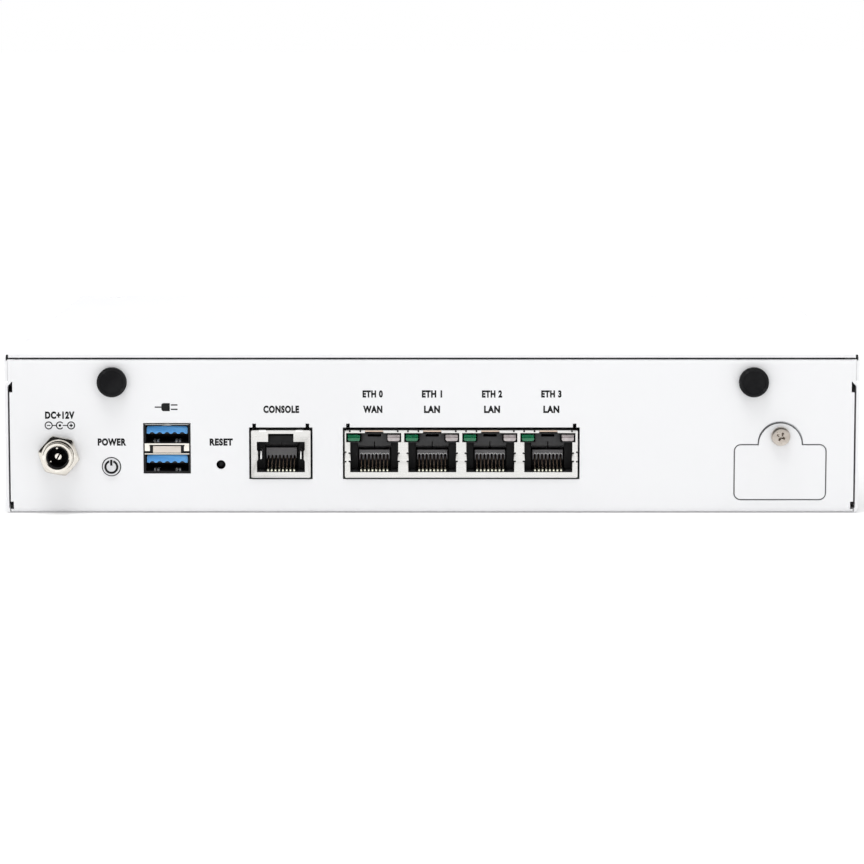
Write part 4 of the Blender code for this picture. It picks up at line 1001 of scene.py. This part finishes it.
def grounding_springs(node, x):
    """Side springs of a can, folded back into its mouth, in a near-white tin that is a painted highlight."""
    front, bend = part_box(node)[0].y, 0.27 * MM
    bm = bmesh.new()
    for place in about(x, 5.45 * MM):
        outline = arc(place, front + 0.9 * MM, bend, pi, 2 * pi, 8)
        outline += [(place + bend, front + 6 * MM), (place - bend, front + 6 * MM)]
        sweep(bm, outline, "Z", 14.65 * MM, 16.85 * MM)
    piece(node + "_springs", bm, "tin_painted_highlight", slot="tinned_steel", bevel=0.1 * MM)


def lamp(node, material, shift=0.0):
    """Lens with its lower corners cut off and a groove across its face, moved along x by shift."""
    cut, groove, inset = 0.35 * MM, 0.4 * MM, 0.16 * MM
    low, high = [corner + Vector((shift, 0, 0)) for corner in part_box(node)]
    low, high = low + Vector((inset, 0, inset * 0.6)), high - Vector((inset, 0, inset))
    outline = [(low.x + cut, low.z), (high.x - cut, low.z), (high.x, low.z + cut), (high.x, high.z)]
    outline += [(low.x, high.z), (low.x, low.z + cut)]
    bm = bmesh.new()
    sweep(bm, outline, "Y", low.y, high.y)
    creases = [low.z + (high.z - low.z) * share for share in (0.5, 0.62, 0.74)]
    for z in creases:
        everything = bm.verts[:] + bm.edges[:] + bm.faces[:]
        bmesh.ops.bisect_plane(bm, geom=everything, plane_co=(0, 0, z), plane_no=(0, 0, 1))
    for v in [v for v in bm.verts if abs(v.co.y - low.y) < WELD]:
        if abs(v.co.z - creases[1]) < WELD:
            v.co.y += groove
        elif v.co.z > creases[2] + WELD:
            v.co.y += groove / 2
    piece(node + "_lens", bm, material, replaces=[node], bevel=0.09 * MM)


def jacks():
    """Console socket with its can, and the four ports with theirs."""
    x = middle("console_socket").x
    can("console_shield", [console_mouth(x)], [(place, 1.95 * MM) for place in about(x, 5.0 * MM)])
    jack("console_socket", lamps=False)
    grounding_springs("console_shield", x)
    ports = [f"lan_socket_{number}" for number in (1, 2, 3, 4)]
    centres = [middle(port).x for port in ports]
    ticks = [x + dx * MM for x in centres for dx in (-6.6, -3.75, 6.4)]
    can("lan_shield", [lan_mouth(x) for x in centres], (), ticks, (13.8 * MM, 16.4 * MM))
    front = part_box("lan_shield")[0].y
    # painted shade: a strip at the top of each window, in the darker brownish metal
    bm = bmesh.new()
    for x in centres:
        box(bm, about(x, 2.45 * MM), (front - 0.03 * MM, front + 2 * MM), (22.22 * MM, 22.56 * MM))
    piece("lan_shield_windows", bm, "metal_painted_shade", slot="tinned_steel", bevel=0.05 * MM)
    for number, port in enumerate(ports, 1):
        jack(port, lamps=True)
        lamp(f"lan_lamp_green_{number}", "green_lens")
        lamp(f"lan_lamp_clear_{number}", "clear_lens", -0.22 * MM)


# ---- data sockets ----

MOUTH_SHADE_COAT = 0.08 * MM  # painted shade: black coat inside the data sockets' mouths
BAR = (16.0 * MM, 19.1 * MM)  # heights of the pressing between the two sockets
USB_WALL = 0.2 * MM


def data_sockets():
    """Shell with two mouths, made dark inside by a black coat that paints their shade, and what fills and
    surrounds them.
    """
    low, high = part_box("usb_shell")
    x, front = middle("usb_shell").x, low.y
    sunk, floor = front + 1.3 * MM, front + 15.5 * MM
    sides = (low.x + USB_WALL, high.x - USB_WALL)
    mouths = [(low.z + USB_WALL, BAR[0]), (BAR[1], high.z - USB_WALL)]
    bm = bmesh.new()
    holes = [(rectangle(sides, mouth), floor) for mouth in mouths]
    block(bm, rectangle((low.x, high.x), (low.z, high.z)), holes, "Y", sunk, high.y)
    box(bm, (low.x + 0.3 * MM, high.x - 0.3 * MM), (front + 0.2 * MM, sunk), (high.z - 0.16 * MM, high.z))
    bump = arc(x, high.z - 1.74 * MM, 1.95 * MM, radians(48), radians(132), 12)
    sweep(bm, bump, "Y", front + 0.1 * MM, sunk)
    piece("usb_shell_walls", bm, "tinned_steel", replaces=["usb_shell"], bevel=0.05 * MM)
    # painted shade: black coat inside each mouth
    bm = bmesh.new()
    for mouth in mouths:
        throat = rectangle(*[(start + MOUTH_SHADE_COAT, end - MOUTH_SHADE_COAT) for start, end in (sides, mouth)])
        block(bm, rectangle(sides, mouth), [(throat, floor - 0.5 * MM)], "Y", sunk + 0.3 * MM, floor)
    piece("usb_throat_shade", bm, "black_plastic")
    data_gap_shade(x, low, high, (front + 0.6 * MM, sunk - 0.02 * MM))
    centre_bar(x, high.x - x - 0.08 * MM, front, sunk)
    for place in ("upper", "lower"):
        tongue(place)
    mouth_springs(x, front, (mouths[0][0], mouths[1][0]))


def data_gap_shade(x, low, high, y):
    """Painted shade: a black frame between the shell and the panel, open wider beside the centre bar."""
    rim, outer = USB_WALL + 0.12 * MM, 0.24 * MM
    inner, reach = high.x - x - rim, high.x - x - 0.05 * MM
    right = [(inner, low.z + rim), (inner, BAR[0]), (reach, BAR[0]), (reach, BAR[1]), (inner, BAR[1])]
    hole = mirrored(x, right + [(inner, high.z - rim)])
    outline = rectangle((low.x - outer, high.x + outer), (low.z - outer, high.z - 0.17 * MM))
    piece("usb_gap_shade", alone(block, outline, [(hole, y[1])], "Y", *y), "black_rubber")


def centre_bar(x, half, front, back):
    """Pressing between the two sockets: rolled borders, a raised plate and a spring flap at each end."""
    low, high = BAR
    bm = bmesh.new()
    for border in ((low, low + 0.36 * MM), (high - 0.5 * MM, high)):
        box(bm, about(x, half), (front, back), border)
    flap = [(4.6, 0.9), (4.6, 2.2), (4.85, 2.75), (6.05, 2.75), (6.05, 0.9)]
    for side in (-1, 1):
        outline = [(x + side * dx * MM, low + dz * MM) for dx, dz in flap]
        sweep(bm, outline, "Y", front + 0.05 * MM, back)
    piece("usb_centre_bar", bm, "bright_nickel", bevel=0.1 * MM, steps=3)
    plate = alone(box, about(x, 3.8 * MM), (front + 0.1 * MM, back), (low + 0.42 * MM, high - 0.78 * MM))
    piece("usb_centre_plate", plate, "warm_nickel", bevel=0.08 * MM, steps=3)
    web = alone(box, about(x, half), (front + 0.55 * MM, back), (low + 0.15 * MM, high - 0.15 * MM))
    piece("usb_centre_web", web, "black_plastic", bevel=0.05 * MM)


def tongue(place):
    """Blue tongue moulding with a sloped upper edge and contact grooves along its underside, over a black
    block that paints the shade in the grooves.
    """
    node = f"usb_tongue_{place}"
    low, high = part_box(node)
    x, front, slope, half = middle(node).x, low.y, 0.45 * MM, (high.x - low.x) / 2
    groove, pitch = 0.78 * MM, 2.05 * MM
    outline = mirrored(x, [(half, low.z), (half, high.z - slope), (half - 0.2 * MM, high.z)])
    for i in range(-2, 3):
        outline += arc(x + i * pitch, low.z - 0.35 * MM, groove, radians(155), radians(25), 8)
    bm = bmesh.new()
    sweep(bm, outline, "Y", front, high.y)
    for v in bm.verts:
        if abs(v.co.y - front) < WELD and v.co.z > high.z - slope / 2:
            v.co.y += 1.1 * MM
    piece(node + "_moulding", bm, "blue_plastic", replaces=[node], bevel=0.1 * MM)
    y, z = (front + 0.25 * MM, high.y - 1 * MM), (low.z - 0.1 * MM, low.z + 0.44 * MM)
    groove_shade = alone(box, about(x, half - 0.3 * MM), y, z)
    piece(f"usb_insulator_{place}", groove_shade, "black_plastic", bevel=0.05 * MM)


def mouth_springs(x, front, floors):
    """Forked shell springs on the floor of each mouth, in a near-white tin that is a painted highlight."""
    bm = bmesh.new()
    for floor in floors:
        path = [(front + 1.2 * MM, floor + 0.1 * MM), (front + 1.5 * MM, floor + 0.62 * MM)]
        path += [(front + 3.4 * MM, floor + 0.75 * MM), (front + 8 * MM, floor + 0.1 * MM)]
        for place in (-3.4, -2.5, 2.5, 3.4):
            sweep(bm, strip(path, 0.2 * MM), "X", *about(x + place * MM, 0.3 * MM))
    piece("usb_shell_springs", bm, "tin_painted_highlight", slot="tinned_steel", bevel=0.05 * MM)


# ---- inside ----

BOARD_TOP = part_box("main_board")[1].z
CHIPS = [  # x, y, side, height, leads on each side
    (-22, -62, 9, 1.0, 12), (-6, -70, 7, 0.9, 8), (14, -70, 7, 0.9, 8), (32, -70, 7, 0.9, 8),
    (-72, 22, 14, 1.4, 20), (-44, 30, 10, 1.1, 13), (14, 34, 12, 1.3, 16), (86, -40, 8, 1.0, 10),
    (-92, -10, 6, 0.9, 6), (40, 30, 6, 0.9, 6), (60, -62, 7, 0.9, 8),
]
CAPACITORS = [  # x, y, radius, height
    (-78, -70, 4, 7.7), (-68, -70, 4, 7.7), (-58, -66, 3.2, 5.8), (52, 44, 4, 7.7), (-20, 14, 3.2, 5.8),
    (-12, 14, 3.2, 5.8), (-4, 14, 3.2, 5.8), (94, 30, 3.2, 5.8), (-96, 34, 4, 7.7),
]
COILS = [(-34, -4, 7), (-34, 6, 7), (-34, -14, 7), (-84, -78, 8), (30, 16, 6), (22, 16, 6)]  # x, y, side
HEADERS = [(20, 47, 10, (18, 45)), (-84, 47, 5, (-86, -72))]  # x, y, columns, what it takes up of x
SIZES = [(1.0, 0.5, 0.35), (1.6, 0.8, 0.45), (2.0, 1.25, 0.6), (3.2, 1.6, 0.7)]  # small parts, in mm
SMALL_PARTS, SMALL_GRID, SMALL_ROW = 330, 1.27 * MM, 1.9 * MM
SMALL_END, SMALL_SPACE = 0.28, 0.6 * MM  # where a part's metal ends start, and the free space around it


def above(height):
    """The limits from the board's top to this far above it."""
    return BOARD_TOP, BOARD_TOP + height


def chip(bodies, leads, x, y, side, height, per_side):
    """Moulded package with gull-wing leads on all four sides, standing on the board."""
    low, before = BOARD_TOP + 0.12 * MM, len(bodies.verts)
    box(bodies, about(x, side / 2), about(y, side / 2), (low, BOARD_TOP + height))
    bodies.verts.ensure_lookup_table()
    for v in bodies.verts[before:]:
        if v.co.z > low + WELD:
            v.co.x, v.co.y = x + (v.co.x - x) * 0.95, y + (v.co.y - y) * 0.95
    pitch, shoulder, ankle = side * 0.86 / per_side, low + height * 0.4, BOARD_TOP + 0.08 * MM
    foot = [(side / 2 - 0.1 * MM, shoulder), (side / 2 + 0.35 * MM, shoulder)]
    foot += [(side / 2 + 0.5 * MM, ankle), (side / 2 + 1.1 * MM, ankle)]
    for i in range(per_side):
        along = (i - (per_side - 1) / 2) * pitch
        for sign in (-1, 1):
            for axis, across, place in (("Y", x, y), ("X", y, x)):
                outline = strip([(across + sign * run, z) for run, z in foot], 0.13 * MM)
                sweep(leads, outline, axis, *about(place + along, pitch * 0.22))


def chips(taken, marks):
    """The packages, each in a printed frame with a dot at its first corner."""
    bodies, leads = bmesh.new(), bmesh.new()
    for facts in CHIPS:
        x, y, side, height = [fact * MM for fact in facts[:4]]
        chip(bodies, leads, x, y, side, height, facts[4])
        half, line = side / 2 + 1.6 * MM, 0.16 * MM
        outer, inner = [rectangle(about(x, reach), about(y, reach)) for reach in (half, half - line)]
        block(marks, outer, [(inner, BOARD_TOP)], "Z", BOARD_TOP + INK, BOARD_TOP)
        sweep(marks, circle(x - half - 0.7 * MM, y - half, 0.35 * MM, 12), "Z", *above(INK))
        dot, top = circle(x - side * 0.36, y - side * 0.36, side * 0.04, 16), BOARD_TOP + height
        sweep(marks, dot, "Z", top - 0.05 * MM, top + 0.01 * MM)
        taken.append((x - half - MM, x + half, *about(y, half)))
    piece("board_chips", bodies, "chip_black", bevel=0.08 * MM)
    piece("board_chip_leads", leads, "tinned_steel")


def capacitors(taken, bases):
    """Electrolytic cans on square bases, each with a rolled groove and a shallow rim on top."""
    cans = bmesh.new()
    for facts in CAPACITORS:
        x, y, radius, height = [fact * MM for fact in facts]
        box(bases, about(x, radius * 1.08), about(y, radius * 1.08), above(0.8 * MM))
        profile = [(0, 0.8 * MM), (radius, 0.8 * MM), (radius, 1.5 * MM), (radius * 0.92, 1.8 * MM)]
        profile += [(radius, 2.1 * MM), (radius, height - 0.3 * MM), (radius - 0.3 * MM, height)]
        profile += [(radius * 0.86, height - 0.05 * MM)]
        profile += [(radius * 0.84, height - 0.25 * MM), (0, height - 0.25 * MM)]
        turn(cans, profile, "Z", (x, y, BOARD_TOP), 32)
        taken.append((*about(x, radius * 1.3), *about(y, radius * 1.3)))
    piece("board_capacitors", cans, "brushed_aluminium")


def headers(taken, bases):
    """Two-row headers: black strips with gold pins at 2.54 mm."""
    pins = bmesh.new()
    for left, near, columns, (start, end) in HEADERS:
        for i in range(columns):
            for j in range(2):
                x, y = (left + i * 2.54) * MM, (near + j * 2.54) * MM
                for bm, half, height in ((bases, 1.2 * MM, 2.5 * MM), (pins, 0.32 * MM, 8.4 * MM)):
                    box(bm, about(x, half), about(y, half), above(height))
        taken.append((start * MM, end * MM, 45.5 * MM, 52 * MM))
    piece("board_bases", bases, "black_plastic", bevel=0.08 * MM, steps=1)
    piece("board_pins", pins, "gold_plate", slot="brass", bevel=0.1 * MM, steps=1)


def coils(taken, ends):
    """Power inductors: grey blocks with rounded corners over two tinned ends each."""
    blocks = bmesh.new()
    for facts in COILS:
        x, y, side = [fact * MM for fact in facts]
        half, outline = side / 2, []
        for quarter, (sx, sy) in enumerate(((1, 1), (-1, 1), (-1, -1), (1, -1))):
            start, end = quarter * pi / 2, (quarter + 1) * pi / 2
            outline += arc(x + sx * half * 0.7, y + sy * half * 0.7, half * 0.3, start, end, 4)
        sweep(blocks, outline, "Z", BOARD_TOP + 0.2 * MM, BOARD_TOP + side * 0.55)
        for sign in (-1, 1):
            reach = (x + sign * half * 0.6, x + sign * (half + 0.4 * MM))
            box(ends, reach, about(y, half * 0.35), above(0.3 * MM))
        taken.append((*about(x, half + 1.2 * MM), *about(y, half + 1.2 * MM)))
    piece("board_coils", blocks, "socket_grey", slot="black_plastic", bevel=0.15 * MM)


def board_parts():
    """Everything on the board that isn't a node of its own. Taken lists the limits (x, x, y, y) in use."""
    taken, marks, bases, ends = [], bmesh.new(), bmesh.new(), bmesh.new()
    chips(taken, marks)
    capacitors(taken, bases)
    headers(taken, bases)
    coils(taken, ends)
    for x0, _, y0, _ in taken[:6]:
        box(marks, (x0, x0 + 1.6 * MM), (y0 - 0.5 * MM, y0 - 0.35 * MM), above(INK))
    small_parts(taken, ends)
    for number in (1, 2, 3, 4):
        centre = middle(f"board_screw_{number}")
        outline, holes = ring(centre.x, centre.y, 4.4 * MM, 1.2 * MM)
        block(marks, outline, [(hole, BOARD_TOP) for hole in holes], "Z", BOARD_TOP + 0.03 * MM, BOARD_TOP)
    piece("board_marks", marks, "white_ink", slot="white_powder_coat")
    memory_chips()
    drive_chips()
    sink_screws()


def small_parts(taken, ends):
    """Resistors and ceramic capacitors in rows of one to four, in the free places of the board."""
    low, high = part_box("main_board")
    for node in frame["nodes"]:
        a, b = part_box(node)
        carrier = node in ("main_board", "base_tray", "top_cover")
        if not carrier and a.z < BOARD_TOP + 2 * MM and b.z > BOARD_TOP:
            taken.append((a.x - MM, b.x + MM, a.y - MM, b.y + MM))
    chance = random.Random(12)
    resistors, ceramics = bmesh.new(), bmesh.new()
    placed = 0
    while placed < SMALL_PARTS:
        longer, shorter, height = [side * MM for side in chance.choice(SIZES)]
        across = chance.random() < 0.5
        half_x, half_y = (shorter / 2, longer / 2) if across else (longer / 2, shorter / 2)
        x = round(chance.uniform(low.x + 4 * MM, high.x - 4 * MM) / SMALL_GRID) * SMALL_GRID
        y = round(chance.uniform(low.y + 28 * MM, high.y - 3 * MM) / SMALL_GRID) * SMALL_GRID
        count = chance.choice((1, 2, 3, 4))
        x0, x1 = about(x, half_x + SMALL_SPACE)
        y0, y1 = y - half_y - SMALL_SPACE, y + half_y + (count - 1) * SMALL_ROW + SMALL_SPACE
        if y1 > high.y - MM or any(x0 < t[1] and x1 > t[0] and y0 < t[3] and y1 > t[2] for t in taken):
            continue
        taken.append((x0, x1, y0, y1))
        bodies = chance.choice((resistors, ceramics))
        for i in range(count):
            row = y + i * SMALL_ROW * (1.4 if across else 1)
            small_part(bodies, ends, (x, row), (half_x, half_y), across, height)
        placed += count
    piece("board_resistors", resistors, "chip_black")
    piece("board_ceramics", ceramics, "ceramic", slot="grey_plastic")
    piece("board_terminals", ends, "tinned_steel")


def small_part(bodies, ends, place, halves, across, height):
    """One small part with a metal cap at both ends, which lie along y if it stands across."""
    limits = [about(*pair) for pair in zip(place, halves)]
    axis = 1 if across else 0
    inner = halves[axis] * 2 * SMALL_END
    core = list(limits)
    core[axis] = about(place[axis], inner)
    box(bodies, *core, above(height))
    for near, far in zip(core[axis], limits[axis]):
        cap = list(limits)
        cap[axis] = (near, far)
        box(ends, *cap, above(height + 0.03 * MM))


def memory_chips():
    """Eight memory packages and the gold edge contacts of the module."""
    low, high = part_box("memory_module")
    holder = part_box("memory_socket")
    towards = 1 if holder[1].y - high.y > low.y - holder[0].y else -1
    centre = (low.y + high.y) / 2 - towards * 2 * MM
    bodies, contacts = bmesh.new(), bmesh.new()
    for i in range(4):
        for y in about(centre, 5.6 * MM):
            x = low.x + (high.x - low.x) * (i + 0.5) / 4
            box(bodies, about(x, 5.4 * MM), about(y, 4.4 * MM), (high.z, high.z + 1.0 * MM))
    edge, count = high.y if towards > 0 else low.y, 120
    pitch = (high.x - low.x - 4 * MM) / count
    for i in range(count):
        x, y = low.x + 2 * MM + (i + 0.5) * pitch, (edge - towards * 3.4 * MM, edge - towards * 5.0 * MM)
        box(contacts, about(x, pitch * 0.3), y, (high.z, high.z + 0.04 * MM))
    piece("memory_packages", bodies, "chip_black", bevel=0.1 * MM)
    piece("memory_contacts", contacts, "gold_plate", slot="brass")


def drive_chips():
    """Moulded packages over the raised places of the solid-state drive, each with a printed dot."""
    low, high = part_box("ssd_module")
    length = (high.y - low.y) / 4
    bodies, dots = bmesh.new(), bmesh.new()
    for i in (1, 2, 3):
        start = low.y + i * length
        x, y = (low.x + 3.6 * MM, high.x - 3.6 * MM), (start + 0.6 * MM, start + length - 1.6 * MM)
        box(bodies, x, y, (low.z + 0.9 * MM, high.z + 0.08 * MM))
        dot = circle(low.x + 5 * MM, y[0] + 1.4 * MM, 0.4 * MM, 16)
        sweep(dots, dot, "Z", high.z + 0.05 * MM, high.z + 0.1 * MM)
    piece("ssd_packages", bodies, "chip_black", bevel=0.12 * MM)
    piece("ssd_dots", dots, "white_ink", slot="white_powder_coat")


def sink_screws():
    """Ears, screws and coil springs at the corners of the heatsink."""
    low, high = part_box("heatsink")
    base = low.z + 4 * MM
    ear, top, under = (base - 2.2 * MM, base - 0.6 * MM), base + 4 * MM, base + 2.9 * MM
    head, shank = 2.6 * MM, 1.4 * MM
    profile = [(0, top), (head - 0.4 * MM, top), (head, top - 0.4 * MM), (head, under)]
    profile += [(shank, under), (shank, BOARD_TOP), (0, BOARD_TOP)]
    heads, springs = bmesh.new(), bmesh.new()
    for sx in (-1, 1):
        for sy in (-1, 1):
            x = (low.x + high.x) / 2 + sx * ((high.x - low.x) / 2 + 3.2 * MM)
            y = (low.y + high.y) / 2 + sy * (high.y - low.y) * 0.36
            sweep(heads, circle(x, y, 3.4 * MM, 24), "Z", *ear)
            box(heads, (x, x - sx * 4.5 * MM), about(y, 3 * MM), ear)
            turn(heads, profile, "Z", (x, y, 0), 24)
            for i in range(5):
                coil = rectangle((1.7 * MM, 2.2 * MM), about(base - 0.3 * MM + i * 0.7 * MM, 0.2 * MM))
                turn(springs, coil, "Z", (x, y, 0), 24)
    piece("heatsink_screws", heads, "zinc_steel", bevel=0.1 * MM)
    piece("heatsink_springs", springs, "bright_nickel", bevel=0.1 * MM)


def rest_of_nodes():
    """The CAD shape with rounded edges, for each node that nothing else stands for."""
    for node, obj in frame["nodes"].items():
        if not obj.hide_render:
            refined(node)


stage()
case()
screws()
plugs()
labels()
power_inlet()
power_key()
reset_key()
jacks()
data_sockets()
board_parts()
rest_of_nodes()
